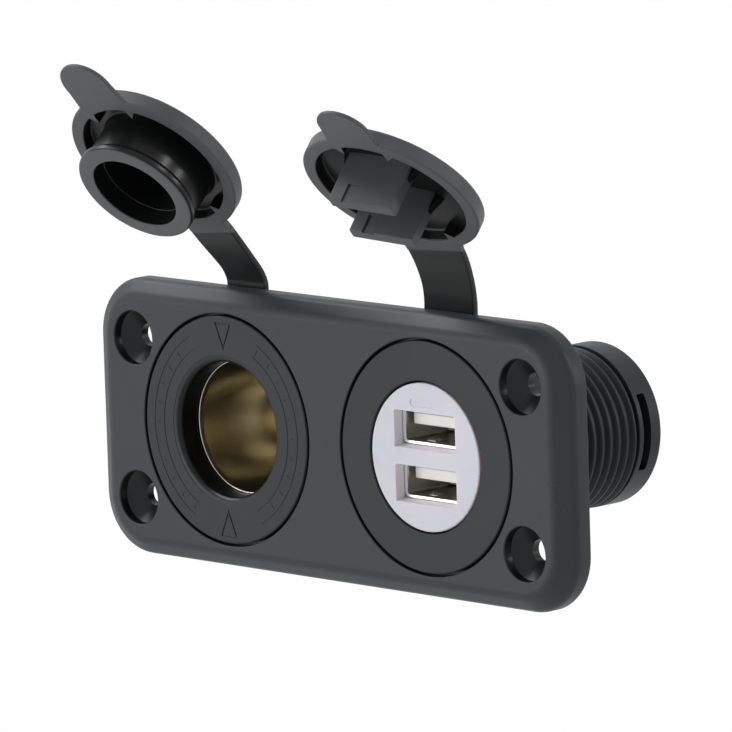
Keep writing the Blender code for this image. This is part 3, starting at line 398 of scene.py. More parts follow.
# %% Dust fleck group
def dust_flecks():
    inputs = [("Scale", "NodeSocketFloat"), ("Size", "NodeSocketFloat"), ("Amount", "NodeSocketFloat")]
    tree, start, end = new_group("dust_flecks", inputs, [("Mask", "NodeSocketFloat")])
    place = add_node(tree, "ShaderNodeTexCoord").outputs["Object"]
    cells = add_node(tree, "ShaderNodeTexVoronoi")
    tree.links.new(place, cells.inputs["Vector"])
    tree.links.new(start.outputs["Scale"], cells.inputs["Scale"])
    near = add_node(tree, "ShaderNodeMath", operation="LESS_THAN")
    tree.links.new(cells.outputs["Distance"], near.inputs[0])
    tree.links.new(start.outputs["Size"], near.inputs[1])
    where = spread(tree, noise(tree, place, 130.0), 0.5, 0.7)
    kept = add_node(tree, "ShaderNodeMath", operation="MULTIPLY")
    tree.links.new(near.outputs[0], kept.inputs[0])
    tree.links.new(where, kept.inputs[1])
    scaled = add_node(tree, "ShaderNodeMath", operation="MULTIPLY")
    tree.links.new(kept.outputs[0], scaled.inputs[0])
    tree.links.new(start.outputs["Amount"], scaled.inputs[1])
    tree.links.new(scaled.outputs[0], end.inputs["Mask"])
    return tree


FLECKS = dust_flecks()
print("group:", FLECKS.name)

# %% [markdown]
# Drawn and pressed sheet metal is streaked along the way it was pulled, and it dulls in soft
# blotches. The group stretches a noise along Y, the socket's axis, for the streaks, and adds
# a broad noise for the tarnish. Faces marked with the mesh attribute are painted near white,
# a painted highlight.

# %% Drawn metal group
def drawn_metal():
    inputs = [
        ("Colour", "NodeSocketColor"),
        ("Tarnish Colour", "NodeSocketColor"),
        ("Roughness", "NodeSocketFloat"),
        ("Roughness Spread", "NodeSocketFloat"),
        ("Streak Height", "NodeSocketFloat"),
    ]
    outputs = [
        ("Colour", "NodeSocketColor"),
        ("Roughness", "NodeSocketFloat"),
        ("Normal", "NodeSocketVector"),
    ]
    tree, start, end = new_group("drawn_metal", inputs, outputs)
    place = add_node(tree, "ShaderNodeTexCoord").outputs["Object"]
    stretch = add_node(tree, "ShaderNodeMapping")
    stretch.inputs["Scale"].default_value = (1.0, 0.06, 1.0)
    tree.links.new(place, stretch.inputs["Vector"])
    streaks = noise(tree, stretch.outputs["Vector"], 2600.0)
    blotches = spread(tree, noise(tree, place, 190.0), 0.35, 0.7)
    colour = mix_colour(tree, blotches, start.outputs["Colour"], start.outputs["Tarnish Colour"])
    # Painted highlight: the marked faces are mixed towards near white.
    painted_light_and_gloss = add_node(tree, "ShaderNodeAttribute", attribute_name="painted_light_and_gloss").outputs["Fac"]
    colour = mix_colour(tree, painted_light_and_gloss, colour, (0.95, 0.94, 0.88))
    rough = add_node(tree, "ShaderNodeMath", operation="MULTIPLY_ADD")
    tree.links.new(blotches, rough.inputs[0])
    tree.links.new(start.outputs["Roughness Spread"], rough.inputs[1])
    tree.links.new(start.outputs["Roughness"], rough.inputs[2])
    bump = add_node(tree, "ShaderNodeBump")
    tree.links.new(streaks, bump.inputs["Height"])
    tree.links.new(start.outputs["Streak Height"], bump.inputs["Distance"])
    tree.links.new(colour, end.inputs["Colour"])
    tree.links.new(rough.outputs[0], end.inputs["Roughness"])
    tree.links.new(bump.outputs["Normal"], end.inputs["Normal"])
    return tree


DRAWN = drawn_metal()
print("group:", DRAWN.name)

# %% [markdown]
# The charcoal plastics and the rubber differ in shade and gloss, so one function makes them
# all from the two groups. A constant, such as the specular level, is set on the shader's own
# socket.

# %% Plastic and rubber materials
def use_group(material, tree, values):
    node = material.node_tree.nodes.new("ShaderNodeGroup")
    node.node_tree = tree
    for name, value in values.items():
        node.inputs[name].default_value = (*value, 1.0) if isinstance(value, tuple) else value
    return node


def new_material(name, specular=0.5, metallic=0.0):
    material = bpy.data.materials.new(name)
    material.use_nodes = True
    shader = material.node_tree.nodes["Principled BSDF"]
    shader.inputs["Specular IOR Level"].default_value = specular
    shader.inputs["Metallic"].default_value = metallic
    return material, shader


DUST_COLOUR = (0.34, 0.35, 0.36)


def plastic(name, colour, patch, rough, rough_spread, grain, specular=0.5, dust=0.0, painted_light_factor=0.25):
    """A moulded material. The grain is (scale per metre, height in metres)."""
    material, shader = new_material(name, specular)
    links = material.node_tree.links
    surface = use_group(material, MOULDED, {
        "Colour": colour, "Patch Colour": patch, "Patch Scale": 55.0,
        # Painted light: the base colour times the factor goes on the marked faces, darker as painted shade or
        # lighter as painted light.
        "Painted Light Colour": tuple(min(channel * painted_light_factor, 0.97) for channel in colour),
        "Roughness": rough, "Roughness Spread": rough_spread,
        "Grain Scale": grain[0], "Grain Height": grain[1],
    })
    finish_colour = surface.outputs["Colour"]
    if dust:
        flecks = use_group(material, FLECKS, {"Scale": 1500.0, "Size": 0.1, "Amount": dust})
        finish_colour = mix_colour(material.node_tree, flecks.outputs["Mask"], finish_colour, DUST_COLOUR)
    links.new(finish_colour, shader.inputs["Base Color"])
    links.new(surface.outputs["Roughness"], shader.inputs["Roughness"])
    links.new(surface.outputs["Normal"], shader.inputs["Normal"])
    return material


FINE_GRAIN = (2600.0, 0.000012)
SMOOTH_GRAIN = (1500.0, 0.000004)
# The last number of each plastic is its painted-light factor: below 1 paints shade into the marked recesses,
# and the face plastic's 1.34 paints its window walls lighter.
panel_plastic = plastic(
    "panel_plastic", (0.028, 0.034, 0.036), (0.032, 0.036, 0.043), 0.42, 0.08, FINE_GRAIN, 0.25, 0.2
)
housing_plastic = plastic(
    "housing_plastic", (0.018, 0.022, 0.024), (0.020, 0.023, 0.028), 0.40, 0.08, FINE_GRAIN, 0.22, 0.15
)
cap_rubber = plastic(
    "cap_rubber", (0.088, 0.093, 0.098), (0.104, 0.105, 0.112), 0.44, 0.10, SMOOTH_GRAIN, 0.2, 0.3, 0.10
)
face_plastic = plastic(
    "face_plastic", (0.66, 0.66, 0.74), (0.72, 0.72, 0.80), 0.36, 0.08, SMOOTH_GRAIN, 0.4, 0.0, 1.34
)
translucent = face_plastic.node_tree.nodes["Principled BSDF"]
translucent.inputs["Subsurface Weight"].default_value = 0.5
translucent.inputs["Subsurface Scale"].default_value = 0.0015
tongue_plastic = plastic(
    "tongue_plastic", (0.90, 0.88, 0.84), (0.94, 0.92, 0.88), 0.42, 0.08, SMOOTH_GRAIN, 0.5
)
ferrite = plastic(
    "ferrite", (0.05, 0.046, 0.042), (0.075, 0.07, 0.066), 0.55, 0.15, (1800.0, 0.00003), 0.4, 0.2
)
print("plastics:", panel_plastic.name, housing_plastic.name, cap_rubber.name, face_plastic.name)

# %% [markdown]
# The outlet's sleeve is plated steel with a bronze tint, the ports are nickel plated and the
# spade terminals are brass. All three use the drawn metal group with their own colours.

# %% Metal materials
def metal(name, colour, tarnish, rough, rough_spread, streaks):
    material, shader = new_material(name, 0.5, 1.0)
    links = material.node_tree.links
    surface = use_group(material, DRAWN, {
        "Colour": colour, "Tarnish Colour": tarnish, "Roughness": rough,
        "Roughness Spread": rough_spread, "Streak Height": streaks,
    })
    links.new(surface.outputs["Colour"], shader.inputs["Base Color"])
    links.new(surface.outputs["Roughness"], shader.inputs["Roughness"])
    links.new(surface.outputs["Normal"], shader.inputs["Normal"])
    return material


sleeve_metal = metal("sleeve_metal", (0.72, 0.67, 0.55), (0.64, 0.59, 0.46), 0.18, 0.06, 0.0000005)
nickel = metal("nickel", (0.57, 0.58, 0.53), (0.48, 0.48, 0.42), 0.26, 0.12, 0.000002)
brass = metal("brass", (0.76, 0.58, 0.30), (0.60, 0.42, 0.20), 0.28, 0.16, 0.000004)
gold = metal("contact_gold", (0.86, 0.66, 0.32), (0.78, 0.56, 0.26), 0.22, 0.08, 0.000002)
print("metals:", sleeve_metal.name, nickel.name, brass.name, gold.name)

# %% [markdown]
# The circuit board is green where the coating covers it, with lighter tracks. A Voronoi
# pattern with straight distances gives cells with square corners that look like copper areas
# under the coating. The light guide is a clear plastic rod with a faint haze.

# %% Board and light guide materials
def board_material():
    material, shader = new_material("board_coating", 0.5)
    tree = material.node_tree
    place = add_node(tree, "ShaderNodeTexCoord").outputs["Object"]
    cells = add_node(tree, "ShaderNodeTexVoronoi", distance="CHEBYCHEV", feature="F1")
    cells.inputs["Scale"].default_value = 420.0
    cells.inputs["Randomness"].default_value = 0.6
    tree.links.new(place, cells.inputs["Vector"])
    areas = spread(tree, cells.outputs["Distance"], 0.34, 0.38)
    colour = mix_colour(tree, areas, (0.045, 0.20, 0.085), (0.025, 0.12, 0.05))
    tree.links.new(colour, shader.inputs["Base Color"])
    rough = spread(tree, noise(tree, place, 240.0), -1.4, 1.4)
    tree.links.new(rough, shader.inputs["Roughness"])
    bump = add_node(tree, "ShaderNodeBump")
    bump.inputs["Distance"].default_value = 0.00004
    tree.links.new(areas, bump.inputs["Height"])
    tree.links.new(bump.outputs["Normal"], shader.inputs["Normal"])
    return material


def guide_material():
    material, shader = new_material("guide_plastic", 0.5)
    tree = material.node_tree
    shader.inputs["Transmission Weight"].default_value = 0.7
    shader.inputs["IOR"].default_value = 1.49
    place = add_node(tree, "ShaderNodeTexCoord").outputs["Object"]
    haze = spread(tree, noise(tree, place, 300.0), 0.3, 0.7)
    colour = mix_colour(tree, haze, (0.88, 0.90, 0.92), (0.80, 0.83, 0.86))
    tree.links.new(colour, shader.inputs["Base Color"])
    rough = spread(tree, haze, -0.5, 3.5)
    tree.links.new(rough, shader.inputs["Roughness"])
    return material


board_coating = board_material()
guide_plastic = guide_material()
print("other materials:", board_coating.name, guide_plastic.name)

# %% [markdown]
# A finished piece is shaded smooth with its real creases kept, gets its material and rides on
# the CAD body that it belongs to. Weighted normals keep the flat faces of a moulding flat
# beside their small roundings. A second helper marks the faces that get painted shade or
# light: it asks a function for each face's level, from 0 for none to 1 for full, which on
# the plastics also makes the face glossy.

# %% Finishing a piece
def finish_piece(piece, material, slot, body=None, replaces=(), crease=32.0):
    only(piece)
    bpy.ops.object.transform_apply(location=True, rotation=True, scale=True)
    bpy.ops.object.shade_smooth_by_angle(angle=math.radians(crease))
    weigh = piece.modifiers.new("flat faces first", "WEIGHTED_NORMAL")
    weigh.keep_sharp = True
    bpy.ops.object.modifier_apply(modifier=weigh.name)
    piece.data.materials.clear()
    piece.data.materials.append(material)
    if body:
        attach(piece, body)
    if replaces:
        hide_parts(*replaces)
    print(f"{piece.name}: {len(piece.data.polygons)} faces")
    return piece


def painted_light_and_gloss(piece, level):
    """Store how much painted shade or light each face gets, for the material to read."""
    mask = piece.data.attributes.new("painted_light_and_gloss", "FLOAT", "FACE")
    for face in piece.data.polygons:
        mask.data[face.index].value = level(face)


print("finishing helpers ready")

# %% [markdown]
# The panel is one moulding: a plate with round corners whose front edge is chamfered all the
# way round, wider at the ends than along the sides. It could be a curve with thickness, but a
# box with its corner edges bevelled, its front face inset and pushed forward, and its
# two outer edges rounded follows how the real form was drawn.

# %% Panel blank
def panel_blank():
    bevel_start = FRONT + 2.1 * MM
    panel = block(
        "panel_moulding",
        (-PANEL_HALF, bevel_start, -PANEL_TOP),
        (PANEL_HALF, 0.0, PANEL_TOP),
        corner=9.75 * MM,
        segments=24,
    )
    edit(panel, "FACE")
    pick(panel, "FACE", lambda face: face.normal.y < -0.9)
    bpy.ops.mesh.inset(thickness=2.5 * MM, depth=2.1 * MM)
    bpy.ops.transform.resize(value=(99.0 / 101.0, 1.0, 1.0), center_override=(0.0, 0.0, 0.0))
    for plane, width, segments in ((FRONT, 0.9 * MM, 5), (bevel_start, 0.8 * MM, 4), (0.0, 0.35 * MM, 2)):
        pick(panel, "EDGE", lambda edge: all(abs(vert.co.y - plane) < 0.00001 for vert in edge.verts))
        bpy.ops.mesh.bevel(offset=width, segments=segments, affect="EDGES")
    leave_edit()
    return panel


panel_moulding = panel_blank()
print("panel blank:", len(panel_moulding.data.polygons), "faces")

# %% [markdown]
# The holes are cut with turned tools. Each tool carries the small rounding of the hole's rim
# in its own profile, so the cut leaves a rounded edge and no bevel is needed afterwards. The
# screw holes are a counterbore, a cone for the screw's head and a through hole.

# %% Panel holes
def rim(radius, rounding):
    """The tool's profile from in front of the panel into a hole with a rounded rim."""
    points = [(0.0, FRONT - MM), (radius + rounding * 1.75, FRONT - rounding * 0.3)]
    for turn in (75, 50, 25, 0):
        reach = math.radians(turn)
        points.append((
            radius + rounding * (1.0 - math.cos(reach)),
            FRONT + rounding * (1.0 - math.sin(reach)),
        ))
    return points


SCREW_BORE = 1.85 * MM


def screw_tool(x, z):
    profile = rim(4.4 * MM, 0.25 * MM) + [
        (4.4 * MM, -3.6 * MM),
        (SCREW_BORE, -1.4 * MM),
        (SCREW_BORE, MM),
        (0.0, MM),
    ]
    return lathe("screw_tool", (x, z), profile, 64)


def socket_tool(x):
    relief = RING_RADIUS + 0.3 * MM
    profile = rim(FLANGE_SEAT, 0.2 * MM) + [
        (FLANGE_SEAT, -2.9 * MM),
        (BARREL_HOLE, -2.9 * MM),
        (BARREL_HOLE, -0.2 * MM),
        (relief, -0.2 * MM),
        (relief, MM),
        (0.0, MM),
    ]
    return lathe("socket_tool", (x, 0.0), profile, 160)


def boss_tool(x, z, radius, sides):
    """A round post that stays solid when the pocket is cut."""
    front, back = -4 * MM, 2 * MM
    return lathe("boss", (x, z), [(0.0, front), (radius, front), (radius, back), (0.0, back)], sides)


def panel_pocket():
    """The hollow in the back, less the bosses round the holes and the centre rib."""
    wall = 2.0 * MM
    floor = FRONT + 2.4 * MM
    pocket = block(
        "panel_pocket",
        (-PANEL_HALF + wall, floor, -PANEL_TOP + wall),
        (PANEL_HALF - wall, MM, PANEL_TOP - wall),
        corner=7.75 * MM,
        segments=16,
    )
    for x in (OUTLET_X, USB_X):
        shape(pocket, boss_tool(x, 0.0, 21.25 * MM, 96))
    for x, z in SCREW_PLACES:
        shape(pocket, boss_tool(x, z, 5.4 * MM, 48))
    shape(pocket, block("rib", (-1.5 * MM, -4 * MM, -PANEL_TOP), (1.5 * MM, 2 * MM, PANEL_TOP)))
    return pocket


shape(panel_moulding, panel_pocket())
for x, half_width in ((OUTLET_X, 4.4 * MM), (USB_X, 7.1 * MM)):
    shape(panel_moulding, socket_tool(x))
    notch = block("notch", (x - half_width, -0.2 * MM, 0.0), (x + half_width, MM, PANEL_TOP + MM))
    shape(panel_moulding, notch)
for x, z in SCREW_PLACES:
    shape(panel_moulding, screw_tool(x, z))


def panel_shade_and_gloss(face):
    """Painted shade, darker and glossier, inside the screw holes and the socket seats."""
    x, y, z = face.center
    to_screw = math.hypot(abs(x) - SCREW_X, abs(z) - SCREW_Z)
    to_socket = math.hypot(abs(x) - USB_X, z)
    inside = to_screw < 4.5 * MM or to_socket < FLANGE_SEAT + 0.05 * MM
    return 0.8 if inside and y > FRONT + 0.3 * MM else 0.0


painted_light_and_gloss(panel_moulding, panel_shade_and_gloss)
finish_piece(panel_moulding, panel_plastic, "panel_plastic", "socket", ["mounting_panel"])

# %% [markdown]
# Both barrels carry the thread of their ring nut. A thread is a tooth profile wound about the
# axis, which is just what the Screw modifier does. The wound surface is cut square at both
# ends, filled and bored out. Faces that the boring left faulty are removed, and this one
# sleeve is copied for the second barrel.

# %% Barrel thread
def thread_sleeve():
    pitch = 1.875 * MM
    root, crest = 12.35 * MM, 13.1 * MM
    bore_radius = 11.9 * MM
    tooth = [
        (root, 0.0), (root, 0.17), (root + 0.42 * MM, 0.32), (crest - 0.07 * MM, 0.41), (crest, 0.48),
        (crest, 0.58), (crest - 0.07 * MM, 0.65), (root + 0.42 * MM, 0.74), (root, 0.89), (root, 1.0),
    ]
    outline = [Vector((radius, (share - 1.0) * pitch, 0.0)) for radius, share in tooth]
    sleeve = draw_chain("thread_sleeve", outline)
    leave_edit(clean=False)
    wind = sleeve.modifiers.new("wind", "SCREW")
    wind.axis = "Y"
    wind.angle = FULL_TURN
    wind.screw_offset = pitch
    wind.iterations = 18
    wind.steps = wind.render_steps = 72
    wind.use_merge_vertices = True
    wind.merge_threshold = 0.000001
    only(sleeve)
    bpy.ops.object.modifier_apply(modifier=wind.name)
    edit(sleeve, "FACE")
    for plane, keep_front in ((0.9 * MM, False), (30.1 * MM, True)):
        bpy.ops.mesh.select_all(action="SELECT")
        bpy.ops.mesh.bisect(
            plane_co=(0.0, plane, 0.0), plane_no=(0.0, 1.0, 0.0),
            use_fill=True, clear_outer=keep_front, clear_inner=not keep_front,
        )
    leave_edit()
    bore_profile = [(0.0, -MM), (bore_radius, -MM), (bore_radius, 32 * MM), (0.0, 32 * MM)]
    shape(sleeve, lathe("bore", (0.0, 0.0), bore_profile, 96))
    print("mesh had faults to repair:", sleeve.data.validate())
    return sleeve


first_thread = thread_sleeve()
only(first_thread)
bpy.ops.object.duplicate(linked=False)
second_thread = bpy.context.object
for thread, x in ((first_thread, OUTLET_X), (second_thread, USB_X)):
    only(thread)
    bpy.ops.transform.translate(value=(x, 0.0, 0.0))
    bpy.ops.object.transform_apply(location=True, rotation=True, scale=True)
print("thread sleeve:", len(first_thread.data.polygons), "faces")

# %% [markdown]
# A socket body is a turned moulding: a flat flange in front and a long barrel behind, with the
# thread between them. Its whole wall is one closed profile, so one spin makes both sides of
# it. The two windows in the rear collar are cut while the body is still plain.

# %% Socket bodies
def outer_wall():
    return [
        (FLANGE_RADIUS, FRONT, 0.3 * MM),
        (FLANGE_RADIUS, -3.2 * MM, 0.2 * MM),
        (BARREL_RADIUS, -3.2 * MM),
        (BARREL_RADIUS, 1.0 * MM),
        (12.2 * MM, 1.0 * MM),
        (12.2 * MM, 30.0 * MM),
        (BARREL_RADIUS, 30.0 * MM, 0.15 * MM),
        (BARREL_RADIUS, BARREL_END, 0.35 * MM),
    ]


def cut_collar_windows(housing, x):
    for side in (-1, 1):
        near, far = sorted((x + side * 6.5 * MM, x + side * 14.2 * MM))
        window = block("window", (near, 30.9 * MM, -6.15 * MM), (far, 32.6 * MM, 6.15 * MM))
        soften(window, 0.2 * MM)
        shape(housing, window)


outlet_profile = outer_wall() + [
    (11.3 * MM, BARREL_END, 0.2 * MM),
    (11.3 * MM, -1.1 * MM),
    (10.95 * MM, -1.1 * MM, 0.1 * MM),
    (10.95 * MM, FRONT + 0.08 * MM, 1.1 * MM),
    (12.15 * MM, FRONT + 0.08 * MM),
    (12.2 * MM, FRONT),
]
outlet_housing = lathe("outlet_housing", (OUTLET_X, 0.0), rounded(outlet_profile, steps=6), 160)
usb_profile = outer_wall() + [
    (11.2 * MM, BARREL_END, 0.2 * MM),
    (11.2 * MM, -2.5 * MM),
    (12.15 * MM, -2.5 * MM),
    (12.15 * MM, FRONT, 0.25 * MM),
]
usb_housing = lathe("usb_housing", (USB_X, 0.0), rounded(usb_profile, steps=4), 160)
for housing, x in ((outlet_housing, OUTLET_X), (usb_housing, USB_X)):
    cut_collar_windows(housing, x)
print("outlet housing:", len(outlet_housing.data.polygons), "faces")

# %% [markdown]
# The outlet's flange is engraved. Two open triangles point at each other across the mouth and
# show where the socket locks, and pairs of fine arcs with short ticks spaced between them run
# between the triangles. A triangle is a three-sided cylinder whose ends are inset and bridged, so it cuts an
# outline.
# The threads, which reach a little into their barrels, are added after the last cut.

# %% Marks on the outlet flange
MARK_DEPTH = 0.14 * MM


def triangle_tool(height, apex):
    """An outline with its apex towards the mouth: up for the lower mark, down for the upper."""
    half, rise = 1.9 * MM, 2.25 * MM
    base = height - apex * rise
    tip = height + apex * rise
    outline = [Vector((OUTLET_X - half, FRONT - MM, base)), Vector((OUTLET_X + half, FRONT - MM, base)),
               Vector((OUTLET_X, FRONT - MM, tip))]
    tool = prism("triangle", outline, Vector((0.0, MM + MARK_DEPTH, 0.0)))
    edit(tool, "FACE")
    pick(tool, "FACE", lambda face: abs(face.normal.y) > 0.9)
    bpy.ops.mesh.inset(thickness=0.28 * MM, use_individual=True)
    bpy.ops.mesh.bridge_edge_loops()
    leave_edit()
    return tool


def arc_tool(radius, start, end, width=0.22 * MM):
    """A narrow curved groove about the socket's axis, between two angles in degrees."""
    steps = max(2, int(abs(end - start) / 3))
    turns = [math.radians(start + (end - start) * step / steps) for step in range(steps + 1)]
    outer = [((radius + width / 2) * math.cos(turn), (radius + width / 2) * math.sin(turn)) for turn in turns]
    inner = [((radius - width / 2) * math.cos(turn), (radius - width / 2) * math.sin(turn)) for turn in turns]
    return front_prism("arc", outer + inner[::-1], FRONT - MM, FRONT + MARK_DEPTH / 2, (OUTLET_X, 0.0))


def tick_tool(radius, turn, length=1.6 * MM, width=0.22 * MM):
    """A short groove across the ring at one angle in degrees."""
    along = Vector((math.cos(math.radians(turn)), math.sin(math.radians(turn))))
    across = Vector((-along.y, along.x)) * (width / 2)
    near, far = along * (radius - length / 2), along * (radius + length / 2)
    corners = [near - across, near + across, far + across, far - across]
    return front_prism("tick", corners, FRONT - MM, FRONT + MARK_DEPTH / 2, (OUTLET_X, 0.0))


def engrave():
    shape(outlet_housing, triangle_tool(15.2 * MM, -1))
    shape(outlet_housing, triangle_tool(-15.2 * MM, 1))
    for start, end in ((-62, 62), (118, 242)):
        shape(outlet_housing, arc_tool(16.4 * MM, start, end))
        shape(outlet_housing, arc_tool(14.2 * MM, start, end))
        for turn in range(start, end + 1, 12):
            if turn not in (start, end):
                shape(outlet_housing, tick_tool(15.3 * MM, turn + 2.0, 0.9 * MM))


engrave()
for housing, thread in ((outlet_housing, first_thread), (usb_housing, second_thread)):
    only(housing, thread)
    bpy.ops.object.join()
# Painted shade: the outlet's mouth wall is darker and glossier.
painted_light_and_gloss(outlet_housing, lambda face: 1.0 if FRONT + 0.3 * MM < face.center.y < 2 * MM
       and math.hypot(face.center.x - OUTLET_X, face.center.z) < 11.6 * MM else 0.0)
finish_piece(outlet_housing, housing_plastic, "body_plastic", "socket", ["outlet_body"])
finish_piece(usb_housing, housing_plastic, "body_plastic", "socket", ["usb_body"])

# %% [markdown]
# Inside the outlet sits a drawn metal cup with a rolled front edge, an insulating washer on
# its bottom and the sprung centre button. They are all round, so they are all turned.

# %% Outlet sleeve, insulator and contact
sleeve_profile = [
    (10.5 * MM, 0.2 * MM),
    (10.75 * MM, -0.8 * MM, 0.06 * MM),
    (11.0 * MM, -0.8 * MM, 0.06 * MM),
    (11.0 * MM, 30.0 * MM, 0.45 * MM),
    (3.6 * MM, 30.0 * MM, 0.1 * MM),
    (3.6 * MM, 29.5 * MM, 0.1 * MM),
    (10.5 * MM, 29.5 * MM, 0.5 * MM),
]
sleeve_cup = lathe("outlet_sleeve_cup", (OUTLET_X, 0.0), rounded(sleeve_profile), 160)
# Painted highlight: the cup's front edge is mixed towards near white.
painted_light_and_gloss(sleeve_cup, lambda face: 1.0 if face.center.y < -0.7 * MM else 0.0)
finish_piece(sleeve_cup, sleeve_metal, "sleeve_metal", "socket", ["outlet_sleeve"])

insulator_profile = [
    (1.8 * MM, 27.8 * MM, 0.1 * MM),
    (7.0 * MM, 27.8 * MM, 0.3 * MM),
    (7.0 * MM, 29.2 * MM, 0.1 * MM),
    (3.3 * MM, 29.2 * MM),
    (3.3 * MM, 30.3 * MM, 0.1 * MM),
    (1.8 * MM, 30.3 * MM),
]
insulator = lathe("outlet_insulator_washer", (OUTLET_X, 0.0), rounded(insulator_profile), 64)
finish_piece(insulator, housing_plastic, "body_plastic", "socket", ["outlet_insulator"])

head_radius, head_front = 3.0 * MM, 25.5 * MM
button = [
    (head_radius * math.sin(math.radians(turn)), head_front + MM * (1.0 - math.cos(math.radians(turn))))
    for turn in range(0, 91, 9)
]
button += [(head_radius, 27.5 * MM), (1.5 * MM, 27.5 * MM), (1.5 * MM, 30.6 * MM), (0.0, 30.6 * MM)]
contact = lathe("outlet_contact_button", (OUTLET_X, 0.0), button, 64)
finish_piece(contact, brass, "brass", "socket", ["outlet_centre_contact"])

# %% [markdown]
# The pale face of the USB insert is a thick disc with a window for each port. A thin spot
# above the upper one lets the indicator's light through. The plastic is slightly translucent,
# so light that enters its front leaks out of the window walls, and the walls also carry
# painted light, a lighter colour.

# %% USB face disc
disc_profile = [
    (0.0, FRONT),
    (11.85 * MM, FRONT, 0.3 * MM),
    (11.85 * MM, -2.8 * MM, 0.1 * MM),
    (0.0, -2.8 * MM),
]
face_disc = lathe("usb_face_disc", (USB_X, 0.0), rounded(disc_profile, closed=False), 160)
for lift in PORT_LIFTS.values():
    window = block(
        "window",
        (USB_X - 6.7 * MM, FRONT - MM, lift - 2.86 * MM),
        (USB_X + 6.7 * MM, -1.8 * MM, lift + 2.76 * MM),
        corner=0.35 * MM,
        segments=4,
    )
    shape(face_disc, window)
    sill = [(FRONT - MM, lift - 3.3 * MM), (FRONT - MM, lift - 2.0 * MM), (-3.3 * MM, lift - 2.0 * MM),
            (-3.3 * MM, lift - 2.88 * MM), (FRONT, lift - 3.2 * MM)]
    shape(face_disc, side_prism("sill", sill, USB_X - 6.7 * MM, USB_X + 6.7 * MM))
spot = block(
    "spot",
    (USB_X - 3.1 * MM, FRONT - MM, 7.95 * MM),
    (USB_X + 3.1 * MM, FRONT + 0.12 * MM, 9.25 * MM),
    corner=0.64 * MM,
    segments=8,
)
shape(face_disc, spot)
# Painted light: the window walls are coloured lighter than the face.
painted_light_and_gloss(face_disc, lambda face: 1.0 if abs(face.normal.y) < 0.5 and abs(face.center.x - USB_X) < 7 * MM
       and abs(face.center.z) < 7.8 * MM else 0.0)
finish_piece(face_disc, face_plastic, "face_plastic", "socket", ["usb_face"])

# %% [markdown]
# Each port is a shell folded from sheet metal. A box is rounded along its length, both ends
# are inset by the sheet's thickness, and the two inner faces are bridged into a tunnel. Its
# front edge is folded inwards to a wider lip. The spring finger is pressed up from the floor
# between two slits. The tongue is a plastic blade on a block, with four contacts on its
# underside. One port is made and then copied.

# %% USB ports
LIP = 0.6 * MM
PORT_CORNER = 0.8 * MM
PORT_MOUTH = -3.3 * MM
PORT_BACK = 10.7 * MM
FINGER_X = -2.35 * MM


def port_shell():
    half_x, half_z = 6.55 * MM, 2.75 * MM
    sheet = 0.3 * MM
    low, high = (-half_x, PORT_MOUTH, -half_z), (half_x, PORT_BACK, half_z)
    shell = block("usb_port_shell_upper", low, high, PORT_CORNER, 6)
    edit(shell, "FACE")
    pick(shell, "FACE", lambda face: abs(face.normal.y) > 0.9)
    bpy.ops.mesh.inset(thickness=sheet, use_individual=True)
    bpy.ops.mesh.bridge_edge_loops()
    leave_edit()
    lip = block("lip", low, (half_x, -3.0 * MM, half_z), PORT_CORNER, 6)
    hole_x, hole_z = half_x - LIP, half_z - 0.4 * MM
    shape(lip, block("lip_hole", (-hole_x, -4 * MM, -hole_z), (hole_x, MM, hole_z), 0.4 * MM, 4))
    shape(shell, lip, "UNION")
    floor = -half_z + sheet
    for side in (-1, 1):
        near, far = sorted((FINGER_X + side * 0.92 * MM, FINGER_X + side * 1.06 * MM))
        shape(shell, block("slit", (near, -1.5 * MM, floor - MM), (far, 0.6 * MM, floor + 0.2 * MM)))
    finger = rounded([
        (-1.3 * MM, floor - 0.15 * MM),
        (-1.3 * MM, floor + 0.05 * MM),
        (-0.66 * MM, floor + 0.45 * MM, 0.3 * MM),
        (0.3 * MM, floor + 0.05 * MM),
        (0.3 * MM, floor - 0.15 * MM),
    ])
    shape(shell, side_prism("finger", finger, FINGER_X - 0.9 * MM, FINGER_X + 0.9 * MM), "UNION")
    # Painted highlight: the lip's front face is mixed towards near white.
    painted_light_and_gloss(shell, lambda face: 1.0 if face.normal.y < -0.7 and face.center.y < -3.2 * MM else 0.0)
    return shell


def port_tongue():
    half_x, half_z = 5.95 * MM, 2.15 * MM
    tongue = block("usb_port_tongue_upper", (-half_x, 6.1 * MM, -half_z), (half_x, PORT_BACK, half_z))
    soften(tongue, 0.15 * MM)
    blade = block("blade", (-5.5 * MM, -2.0 * MM, 0.13 * MM), (5.5 * MM, 7.0 * MM, 1.97 * MM))
    soften(blade, 0.2 * MM, 3)
    shape(tongue, blade, "UNION")
    return tongue


def port_contacts():
    """Four spring leaves under the tongue, the outer two longer."""
    strips = []
    for x, front in ((-3.5, -1.2), (-1.0, -0.2), (1.0, -0.2), (3.5, -1.2)):
        strip = block("leaf", ((x - 0.5) * MM, front * MM, 0.05 * MM), ((x + 0.5) * MM, 6.1 * MM, 0.2 * MM))
        soften(strip, 0.04 * MM)
        strips.append(strip)
    only(*strips)
    bpy.ops.object.join()
    leaves = bpy.context.object
    leaves.name = "usb_port_contacts_upper"
    return leaves


def place_in_port(piece, lift):
    only(piece)
    bpy.ops.transform.translate(value=(USB_X, 0.0, lift))


